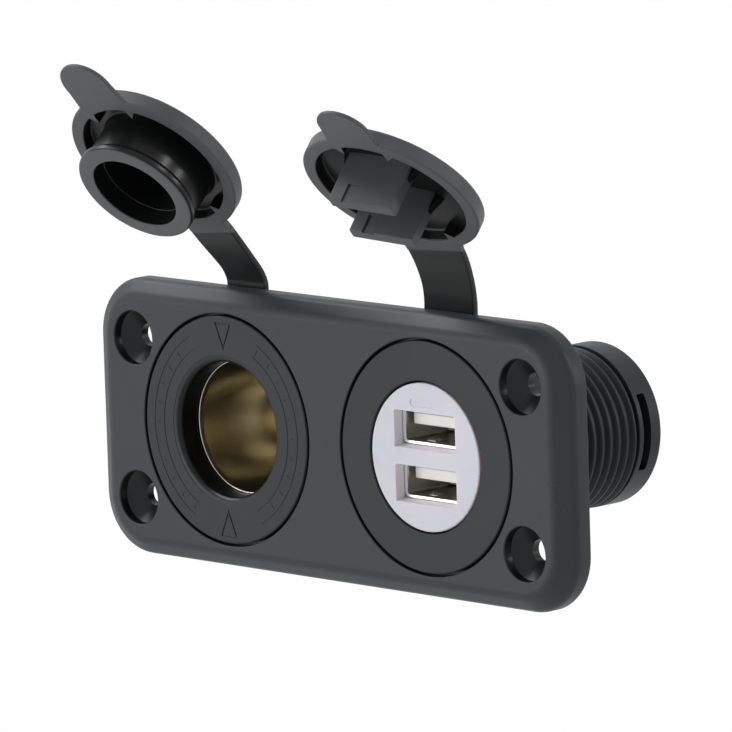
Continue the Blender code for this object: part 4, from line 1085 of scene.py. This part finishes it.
PORT_PIECES = (
    (port_shell, nickel, "nickel", "usb_shell"),
    (port_tongue, tongue_plastic, "tongue_plastic", "usb_tongue"),
    (port_contacts, gold, "brass", None),
)
for make, material, slot, node in PORT_PIECES:
    upper = make()
    only(upper)
    bpy.ops.object.duplicate(linked=False)
    lower = bpy.context.object
    lower.name = upper.name.replace("upper", "lower")
    for level, piece in (("upper", upper), ("lower", lower)):
        place_in_port(piece, PORT_LIFTS[level])
        finish_piece(piece, material, slot, "socket", [f"{node}_{level}"] if node else [])

# %% [markdown]
# Behind the panel a ring nut holds each socket, and a disc closes each barrel. The nut is a
# circle filled and extruded, with its points drawn in to form the twelve finger flutes. The
# rear disc is turned, and its two slots let the spade terminals out.

# %% Ring nuts and rear covers
def ring_nut():
    sides, flutes, depth = 144, 12, 0.7 * MM
    front, back = 1.6 * MM, 8.6 * MM
    only()
    bpy.ops.mesh.primitive_circle_add(
        vertices=sides, radius=RING_RADIUS, fill_type="NGON",
        location=(0.0, front, 0.0), rotation=(math.pi / 2, 0.0, 0.0),
    )
    nut = take_new("outlet_ring_nut")
    edit(nut, "FACE")
    bpy.ops.mesh.select_all(action="SELECT")
    bpy.ops.mesh.extrude_region_move(TRANSFORM_OT_translate={"value": (0.0, back - front, 0.0)})
    mesh = bmesh.from_edit_mesh(nut.data)
    for vert in mesh.verts:
        turn = math.atan2(vert.co.z, vert.co.x)
        share = 1.0 - depth * max(0.0, math.cos(flutes * turn)) / RING_RADIUS
        vert.co.x *= share
        vert.co.z *= share
    bmesh.update_edit_mesh(nut.data)
    leave_edit()
    soften(nut, 0.35 * MM, 3, 50.0)
    bore_profile = rounded([
        (0.0, front - MM), (BARREL_HOLE + 0.5 * MM, front - MM), (BARREL_HOLE + 0.5 * MM, front),
        (BARREL_HOLE, front + 0.5 * MM), (BARREL_HOLE, back - 0.5 * MM), (BARREL_HOLE + 0.5 * MM, back),
        (BARREL_HOLE + 0.5 * MM, back + MM), (0.0, back + MM),
    ], closed=False)
    shape(nut, lathe("nut_bore", (0.0, 0.0), bore_profile, 144))
    return nut


def rear_cover(side, x, bore):
    outer = bore - 0.3 * MM
    profile = rounded([
        (0.0, 33 * MM), (outer, 33 * MM, 0.15 * MM), (outer, BARREL_END, 0.35 * MM), (0.0, BARREL_END),
    ], closed=False)
    cover = lathe(f"{side}_rear_disc", (x, 0.0), profile, 128)
    for offset in (0.0, -7.0 * MM):
        left, right = x + offset - 0.7 * MM, x + offset + 0.7 * MM
        shape(cover, block("slot", (left, 32 * MM, -3.45 * MM), (right, 36 * MM, 3.45 * MM)))
    return cover


outlet_nut = ring_nut()
only(outlet_nut)
bpy.ops.object.duplicate(linked=False)
usb_nut = bpy.context.object
usb_nut.name = "usb_ring_nut"
for side, nut, x, bore in (("outlet", outlet_nut, OUTLET_X, 11.3 * MM), ("usb", usb_nut, USB_X, 11.2 * MM)):
    only(nut)
    bpy.ops.transform.translate(value=(x, 0.0, 0.0))
    finish_piece(nut, housing_plastic, "body_plastic", "socket", [f"{side}_nut"])
    finish_piece(rear_cover(side, x, bore), housing_plastic, "body_plastic", "socket", [f"{side}_rear_cover"])

# %% [markdown]
# A dust cap is a shallow rubber dish with a pull tab at the bottom and a short lug at the top.
# It is modelled closed over its socket, where its fit can be seen, and turned open afterwards.
# The shell's profile runs from the domed back round the rim to the inner floor.

# %% Cap shells
CAP_BACK = -8.2 * MM
CAP_RADIUS = 14.8 * MM
CAP_INNER = 12.5 * MM
HINGE_LIFT = 15.8 * MM
PLUG_TIP = 0.7 * MM


def dome(radius):
    return CAP_BACK - 1.5 * MM * (1.0 - (radius / (14.5 * MM)) ** 2)


def floor_at(radius):
    return dome(radius) + 1.1 * MM


def cap_back_and_rim():
    """From the middle of the back outwards and round the rim."""
    back = [(radius * MM, dome(radius * MM)) for radius in (0, 2, 4, 6, 8, 10, 12, 13.5)]
    return back + [
        (CAP_RADIUS, CAP_BACK, 0.6 * MM),
        (CAP_RADIUS, RIM_PLANE, 0.35 * MM),
        (CAP_INNER, RIM_PLANE, 0.3 * MM),
    ]


def outlet_cap_profile():
    neck, lip, hole = 9.7 * MM, 10.2 * MM, 7.33 * MM
    return cap_back_and_rim() + [
        (CAP_INNER, floor_at(CAP_INNER), 0.4 * MM),
        (neck, floor_at(neck), 0.5 * MM),
        (neck, -0.95 * MM, 0.3 * MM),
        (lip, -0.45 * MM, 0.3 * MM),
        (lip, PLUG_TIP, 0.45 * MM),
        (hole, PLUG_TIP, 0.3 * MM),
        (hole, -2.5 * MM),
        (hole - 0.14 * MM, -2.5 * MM),
        (hole - 0.14 * MM, floor_at(hole), 0.4 * MM),
        (0.0, floor_at(0.0)),
    ]


def usb_cap_profile():
    return cap_back_and_rim() + [
        (CAP_INNER, floor_at(CAP_INNER), 0.5 * MM),
        (8.0 * MM, floor_at(8.0 * MM)),
        (4.0 * MM, floor_at(4.0 * MM)),
        (0.0, floor_at(0.0)),
    ]


outlet_cap = lathe("outlet_dust_cap", (OUTLET_X, 0.0), rounded(outlet_cap_profile(), closed=False), 160)
usb_cap = lathe("usb_dust_cap", (USB_X, 0.0), rounded(usb_cap_profile(), closed=False), 160)
print("cap shells:", len(outlet_cap.data.polygons), len(usb_cap.data.polygons), "faces")

# %% [markdown]
# The tab runs straight down and ends in a round tip. The lug ends in a half round that turns
# about the strap's hinge line. Four pointed ribs stand on the rim's inner wall. All are
# prisms, the tab and the lug with rounded edges, and they are joined on, because the cap is one moulding.

# %% Tab, lug and ribs
def circle_points(centre, radius, start, end, steps):
    turns = [math.radians(start + (end - start) * step / steps) for step in range(steps + 1)]
    return [(centre[0] + radius * math.cos(turn), centre[1] + radius * math.sin(turn)) for turn in turns]


def tab_tool(x, root_half, tip_radius, tip_lift):
    outline = [(x + root_half, -12.6 * MM), (x - root_half, -12.6 * MM)]
    outline += circle_points((x, tip_lift), tip_radius, 174, 366, 28)
    tab = front_prism("tab", outline, RIM_PLANE - 0.7 * MM, RIM_PLANE)
    soften(tab, 0.2 * MM, 3, 50.0)
    return tab


def lug_tool(x, shift, width, lean):
    """A side profile with a half round about the hinge line, extruded across the strap's width."""
    middle = RIM_PLANE - STRAP_THICKNESS / 2
    half = STRAP_THICKNESS / 2
    outline = [(RIM_PLANE, 12.4 * MM)]
    outline += circle_points((middle, HINGE_LIFT), half, 0, 180, 8)
    outline += [(RIM_PLANE - STRAP_THICKNESS, 12.4 * MM)]
    lug = side_prism("lug", outline, x + shift - width / 2, x + shift + width / 2)
    edit(lug, "VERT")
    mesh = bmesh.from_edit_mesh(lug.data)
    for vert in mesh.verts:
        if vert.co.z > 15 * MM:
            vert.co.z += lean * (vert.co.x - x)
    bmesh.update_edit_mesh(lug.data)
    leave_edit()
    soften(lug, 0.2 * MM, 3, 60.0)
    return lug


def rib_tool(x, turn):
    half = math.degrees(1.2 * MM / CAP_INNER)
    root = circle_points((0.0, 0.0), CAP_INNER + 1.15 * MM, turn - half, turn + half, 1)
    tip = circle_points((0.0, 0.0), CAP_INNER - 1.5 * MM, turn, turn, 1)[:1]
    rib = front_prism("rib", root + tip, CAP_BACK + 0.15 * MM, RIM_PLANE - 0.02 * MM, (x, 0.0))
    return rib


def join_details(cap, x, tab, strap):
    shape(cap, tab_tool(x + tab[0], *tab[1:]), "UNION")
    shape(cap, lug_tool(x, strap["end_shift"], strap["width"], strap["lean"]), "UNION")
    beside_strap = math.degrees(math.asin((strap["width"] / 2 + 2.2 * MM) / CAP_RADIUS))
    beside_tab = math.degrees(math.asin(5.3 * MM / CAP_RADIUS))
    for turn in (90 - beside_strap, 90 + beside_strap, 270 - beside_tab, 270 + beside_tab):
        shape(cap, rib_tool(x, turn), "UNION")


OUTLET_STRAP = {
    "width": 8.6 * MM,
    "lean": math.tan(math.radians(4.4)),
    "root_shift": 0.1 * MM,
    "end_shift": 0.3 * MM,
}
USB_STRAP = {
    "width": 10.9 * MM,
    "lean": math.tan(math.radians(-12.0)),
    "root_shift": 0.8 * MM,
    "end_shift": 1.3 * MM,
}
join_details(outlet_cap, OUTLET_X, (-0.2 * MM, 5.4 * MM, 4.9 * MM, -17.9 * MM), OUTLET_STRAP)
join_details(usb_cap, USB_X, (-1.0 * MM, 4.8 * MM, 4.5 * MM, -17.5 * MM), USB_STRAP)
print("details joined")

# %% [markdown]
# The USB cap carries two prongs that plug the ports below their tongues. Each is a tapered
# bar from its side profile, grooved underneath to clear the port's spring finger, with a
# triangular gusset on each side of its root.

# %% Prongs and gussets
def prong_tool(lift):
    floor, roof = -2.18 * MM, -0.14 * MM
    root = CAP_BACK - 0.66 * MM
    outline = rounded([
        (root, lift + floor - 0.15 * MM),
        (PLUG_TIP, lift + floor, 0.3 * MM),
        (PLUG_TIP, lift + roof, 0.3 * MM),
        (root, lift + roof + 0.15 * MM),
    ])
    prong = side_prism("prong", outline, USB_X - 5.75 * MM, USB_X + 5.75 * MM)
    soften(prong, 0.18 * MM, 2, 60.0)
    groove = block(
        "groove",
        (USB_X + FINGER_X - 1.1 * MM, -2.6 * MM, lift + floor - MM),
        (USB_X + FINGER_X + 1.1 * MM, 2 * MM, lift + floor + 0.25 * MM),
    )
    shape(prong, groove)
    return prong


def gusset_tool(side, lift):
    start = USB_X + side * 5.45 * MM
    middle = lift - 1.16 * MM
    root = CAP_BACK - 0.66 * MM
    outline = [
        Vector((start, root, middle - 0.6 * MM)),
        Vector((start + side * 1.9 * MM, root, middle - 0.6 * MM)),
        Vector((start, RIM_PLANE + 0.95 * MM, middle - 0.6 * MM)),
    ]
    gusset = prism("gusset", outline, Vector((0.0, 0.0, 1.2 * MM)))
    soften(gusset, 0.1 * MM, 2, 50.0)
    return gusset


for lift in PORT_LIFTS.values():
    shape(usb_cap, prong_tool(lift), "UNION")
    for side in (-1, 1):
        shape(usb_cap, gusset_tool(side, lift), "UNION")
print("usb cap:", len(usb_cap.data.polygons), "faces")

# %% [markdown]
# The caps are now turned open. Each hangs on two hinge lines: the root of its strap at the
# panel's top edge, and the end of the strap at the lug. The record gives both lines and their
# ranges, and closed is the far end of each range, so the cap is turned back by the range.

# %% Opening the caps
JOINTS = {joint["name"]: joint for joint in frame["record"]["behaviour"]["joints"]}


def turned_back(name):
    joint = JOINTS[name]
    place = Vector(joint["pos_m"])
    turn = Matrix.Rotation(-math.radians(joint["range_deg"][1]), 4, Vector(joint["axis"]))
    return Matrix.Translation(place) @ turn @ Matrix.Translation(-place)


def cap_shade_and_gloss(cap, x):
    """Plain outside, on the flat faces and on the prongs; painted shade, darker and glossier, in the recess.
    """
    def level(face):
        place = face.center
        outside = math.hypot(place.x - x, place.z) > CAP_INNER + 0.3 * MM
        flat = face.normal.y > 0.7 and place.y > RIM_PLANE - 0.05 * MM
        highest = max(cap.data.vertices[index].co.y for index in face.vertices)
        prong = x == USB_X and highest > RIM_PLANE + MM
        return 0.0 if outside or flat or prong else 1.0
    return level


for side, cap, x in (("outlet", outlet_cap, OUTLET_X), ("usb", usb_cap, USB_X)):
    painted_light_and_gloss(cap, cap_shade_and_gloss(cap, x))
    cap.matrix_world = turned_back(f"{side}_strap_end") @ turned_back(f"{side}_strap_root")
    finish_piece(cap, cap_rubber, "cap_rubber", f"{side}_cap_body", [f"{side}_cap"])

# %% [markdown]
# A tether is a flat ring, trapped between the panel and the nut, that runs up into the strap.
# The strap is lofted: a rounded bar section is carried along a smooth line from the ring,
# over the panel's edge and forward to the cap. Ring and strap are one moulding.

# %% Tethers and straps
def smooth_line(points, steps=8):
    """A curve through points, each stretch shaped by its neighbours."""
    line = []
    padded = [2 * points[0] - points[1]] + list(points) + [2 * points[-1] - points[-2]]
    for p0, p1, p2, p3 in zip(padded, padded[1:], padded[2:], padded[3:]):
        for step in range(steps):
            t = step / steps
            line.append(0.5 * (
                2 * p1 + (p2 - p0) * t + (2 * p0 - 5 * p1 + 4 * p2 - p3) * t ** 2
                + (3 * p1 - p0 - 3 * p2 + p3) * t ** 3
            ))
    line.append(points[-1])
    return line


def strap_rings(width, route, end_axis, root_share):
    """Sections down the strap, their cross line easing from X to the end hinge's axis."""
    lengths = [0.0]
    for before, after in zip(route, route[1:]):
        lengths.append(lengths[-1] + (after - before).length)
    section = rounded([
        (-width / 2, -0.6 * MM, 0.25 * MM), (width / 2, -0.6 * MM, 0.25 * MM),
        (width / 2, 0.6 * MM, 0.25 * MM), (-width / 2, 0.6 * MM, 0.25 * MM),
    ], steps=3)
    stations = []
    for index, (point, length) in enumerate(zip(route, lengths)):
        before, after = route[max(index - 1, 0)], route[min(index + 1, len(route) - 1)]
        stations.append((point, (after - before).normalized(), length / lengths[-1], 1.0))
    tail_point, tail_along = stations[-1][0], stations[-1][1]
    for turn in (20, 40, 60, 80):
        reach = math.radians(turn)
        tip_point = tail_point + tail_along * (0.59 * MM * math.sin(reach))
        stations.append((tip_point, tail_along, 1.0, math.cos(reach)))
    rings = []
    for point, along, share, thick in stations:
        ease = max(0.0, (share - root_share) / (1.0 - root_share))
        line = Vector((1.0, 0.0, 0.0)).lerp(end_axis, ease * ease * (3.0 - 2.0 * ease)).normalized()
        through = along.cross(line).normalized()
        rings.append([point + line * across + through * (depth * thick) for across, depth in section])
    return rings


def make_tether(side, x, strap, middle_line):
    root = JOINTS[f"{side}_strap_root"]
    end = JOINTS[f"{side}_strap_end"]
    axis = Vector(end["axis"])
    target = Vector(end["pos_m"]) + axis * strap["end_shift"]
    start_x = x + strap["root_shift"]
    points = []
    for y, z in middle_line:
        share = max(0.0, (z * MM - PANEL_TOP) / (target.z - PANEL_TOP))
        points.append(Vector((start_x + (target.x - start_x) * share, y * MM, z * MM)))
    route = smooth_line(points + [target])
    tether = loft(f"{side}_tether_strap", strap_rings(strap["width"], route, axis, 0.5))
    ring = lathe("ring", (x, 0.0), rounded([
        (BARREL_HOLE, 0.1 * MM, 0.15 * MM), (RING_RADIUS, 0.1 * MM, 0.2 * MM),
        (RING_RADIUS, 1.3 * MM, 0.2 * MM), (BARREL_HOLE, 1.3 * MM, 0.15 * MM),
    ]), 128)
    shape(tether, ring, "UNION")
    # The whole ring and strap take most of the darker, glossier colour.
    painted_light_and_gloss(tether, lambda face: 0.92)
    finish_piece(tether, cap_rubber, "cap_rubber", replaces=[f"{side}_tether", f"{side}_strap"])
    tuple(root["pos_m"])
    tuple(end["pos_m"])
    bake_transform(tether)


OUTLET_LINE = [
    (0.7, 15.0), (0.7, 19.0), (0.7, 22.7), (0.6, 23.9), (0.12, 25.1),
    (-0.6, 26.2), (-1.9, 27.8), (-3.1, 29.25), (-4.35, 30.75),
]
USB_LINE = [
    (0.7, 15.0), (0.7, 19.0), (0.7, 22.4), (0.5, 23.8), (0.15, 25.1),
    (-0.45, 26.8), (-1.25, 28.5), (-2.2, 30.2), (-3.3, 31.9),
]
make_tether("outlet", OUTLET_X, OUTLET_STRAP, OUTLET_LINE)
make_tether("usb", USB_X, USB_STRAP, USB_LINE)

# %% [markdown]
# The terminals, the board and the parts on it are right as they are. They stay as CAD nodes
# and only get their materials, set on the object's own material slots.

# %% Materials of the kept nodes
KEPT = {
    brass: [
        "outlet_terminal_positive", "outlet_terminal_negative",
        "usb_terminal_positive", "usb_terminal_negative",
    ],
    board_coating: ["usb_board"],
    ferrite: ["usb_inductor"],
    nickel: ["usb_capacitor"],
    guide_plastic: ["indicator_light_guide"],
}
for material, nodes in KEPT.items():
    for node in nodes:
        for slot in frame["nodes"][node].material_slots:
            slot.material = material
print("kept nodes:", sum(len(nodes) for nodes in KEPT.values()))

# %% [markdown]
# The studio is plain: a very large pale floor well below the object, which fills the view
# behind it, and a white world. Both are pure white only to the camera and in reflections, so
# that the light on the object stays at a plain level.

# %% Floor and world
def white_to_camera(tree, other_shader):
    """Mix a shader with plain white light that only direct and mirrored views see."""
    path = add_node(tree, "ShaderNodeLightPath")
    seen = path.outputs["Is Camera Ray"]
    for label in ("Is Glossy Ray", "Is Transmission Ray"):
        either = add_node(tree, "ShaderNodeMath", operation="MAXIMUM")
        tree.links.new(seen, either.inputs[0])
        tree.links.new(path.outputs[label], either.inputs[1])
        seen = either.outputs[0]
    mixer = add_node(tree, "ShaderNodeMixShader")
    tree.links.new(seen, mixer.inputs[0])
    tree.links.new(other_shader, mixer.inputs[1])
    return mixer


FLOOR_RADIUS = 8.0


def make_floor():
    only()
    bpy.ops.mesh.primitive_circle_add(
        vertices=96, radius=FLOOR_RADIUS, fill_type="NGON", location=(0.0, 0.0, -0.35)
    )
    floor = take_new("studio_floor")
    material, shader = new_material("floor_white", 0.2)
    tree = material.node_tree
    shader.inputs["Roughness"].default_value = 0.8
    place = add_node(tree, "ShaderNodeTexCoord").outputs["Object"]
    tone = mix_colour(tree, noise(tree, place, 1.5), (0.80, 0.80, 0.80), (0.84, 0.84, 0.84))
    tree.links.new(tone, shader.inputs["Base Color"])
    glow = add_node(tree, "ShaderNodeEmission")
    glow.inputs["Strength"].default_value = 1.0
    mixer = white_to_camera(tree, shader.outputs["BSDF"])
    tree.links.new(glow.outputs["Emission"], mixer.inputs[2])
    tree.links.new(mixer.outputs["Shader"], tree.nodes["Material Output"].inputs["Surface"])
    floor.data.materials.append(material)


def make_world(level):
    world = bpy.data.worlds.new("studio_world")
    world.use_nodes = True
    bpy.context.scene.world = world
    tree = world.node_tree
    soft = tree.nodes["Background"]
    soft.inputs["Color"].default_value = (1.0, 1.0, 1.0, 1.0)
    soft.inputs["Strength"].default_value = level
    plain = add_node(tree, "ShaderNodeBackground")
    plain.inputs["Color"].default_value = (1.0, 1.0, 1.0, 1.0)
    plain.inputs["Strength"].default_value = 1.0
    mixer = white_to_camera(tree, soft.outputs["Background"])
    tree.links.new(plain.outputs["Background"], mixer.inputs[2])
    tree.links.new(mixer.outputs["Shader"], tree.nodes["World Output"].inputs["Surface"])


make_floor()
make_world(0.22)
print("floor radius:", FLOOR_RADIUS, "m")

# %% [markdown]
# Soft lights shape the dark plastic. The main one stands in front on the left, at the
# object's own height, and reaches into the raised caps. One from above lights the panel's top
# edge. Two smaller ones behind on the right draw the streaks on the glossy plug.

# %% Lights
def soft_light(name, place, size, power):
    only()
    bpy.ops.object.light_add(type="AREA", location=place)
    light = bpy.context.object
    light.name = name
    light.data.shape = "DISK"
    light.data.size = size
    light.data.energy = power
    light.rotation_euler = Vector(place).to_track_quat("Z", "Y").to_euler()


soft_light("main_light", (-0.8, -1.5, 0.05), 1.1, 13.0)
soft_light("top_light", (-0.95, -0.3, 1.12), 0.95, 14.0)
soft_light("high_streak_light", (1.2, 0.34, 1.02), 0.22, 5.5)
soft_light("low_streak_light", (1.26, 0.85, 0.4), 0.22, 4.0)
print("lights:", 4)

# %% [markdown]
# The camera looks from the right and a little above with a long lens, so the round flanges
# become ellipses and parallel edges stay nearly parallel. Its turn is built from the viewing
# direction, with a slight roll.

# %% Camera
def make_camera():
    azimuth, elevation, roll = (math.radians(angle) for angle in (45.24, 9.16, -1.79))
    back = Vector((
        math.sin(azimuth) * math.cos(elevation), -math.cos(azimuth) * math.cos(elevation), math.sin(elevation)
    ))
    level_right = Vector((math.cos(azimuth), math.sin(azimuth), 0.0))
    level_up = back.cross(level_right)
    right = level_right * math.cos(roll) + level_up * math.sin(roll)
    up = level_up * math.cos(roll) - level_right * math.sin(roll)
    turn = Matrix((right, up, back)).transposed().to_4x4()
    only()
    bpy.ops.object.camera_add()
    camera = bpy.context.object
    camera.name = "product_camera"
    camera.matrix_world = Matrix.Translation((0.9315, -0.9191, 0.2227)) @ turn
    camera.data.sensor_fit = "HORIZONTAL"
    camera.data.sensor_width = 36.0
    camera.data.lens = 410.5
    bpy.context.scene.camera = camera


make_camera()
bpy.context.scene.view_settings.view_transform = "Standard"
print("camera ready")
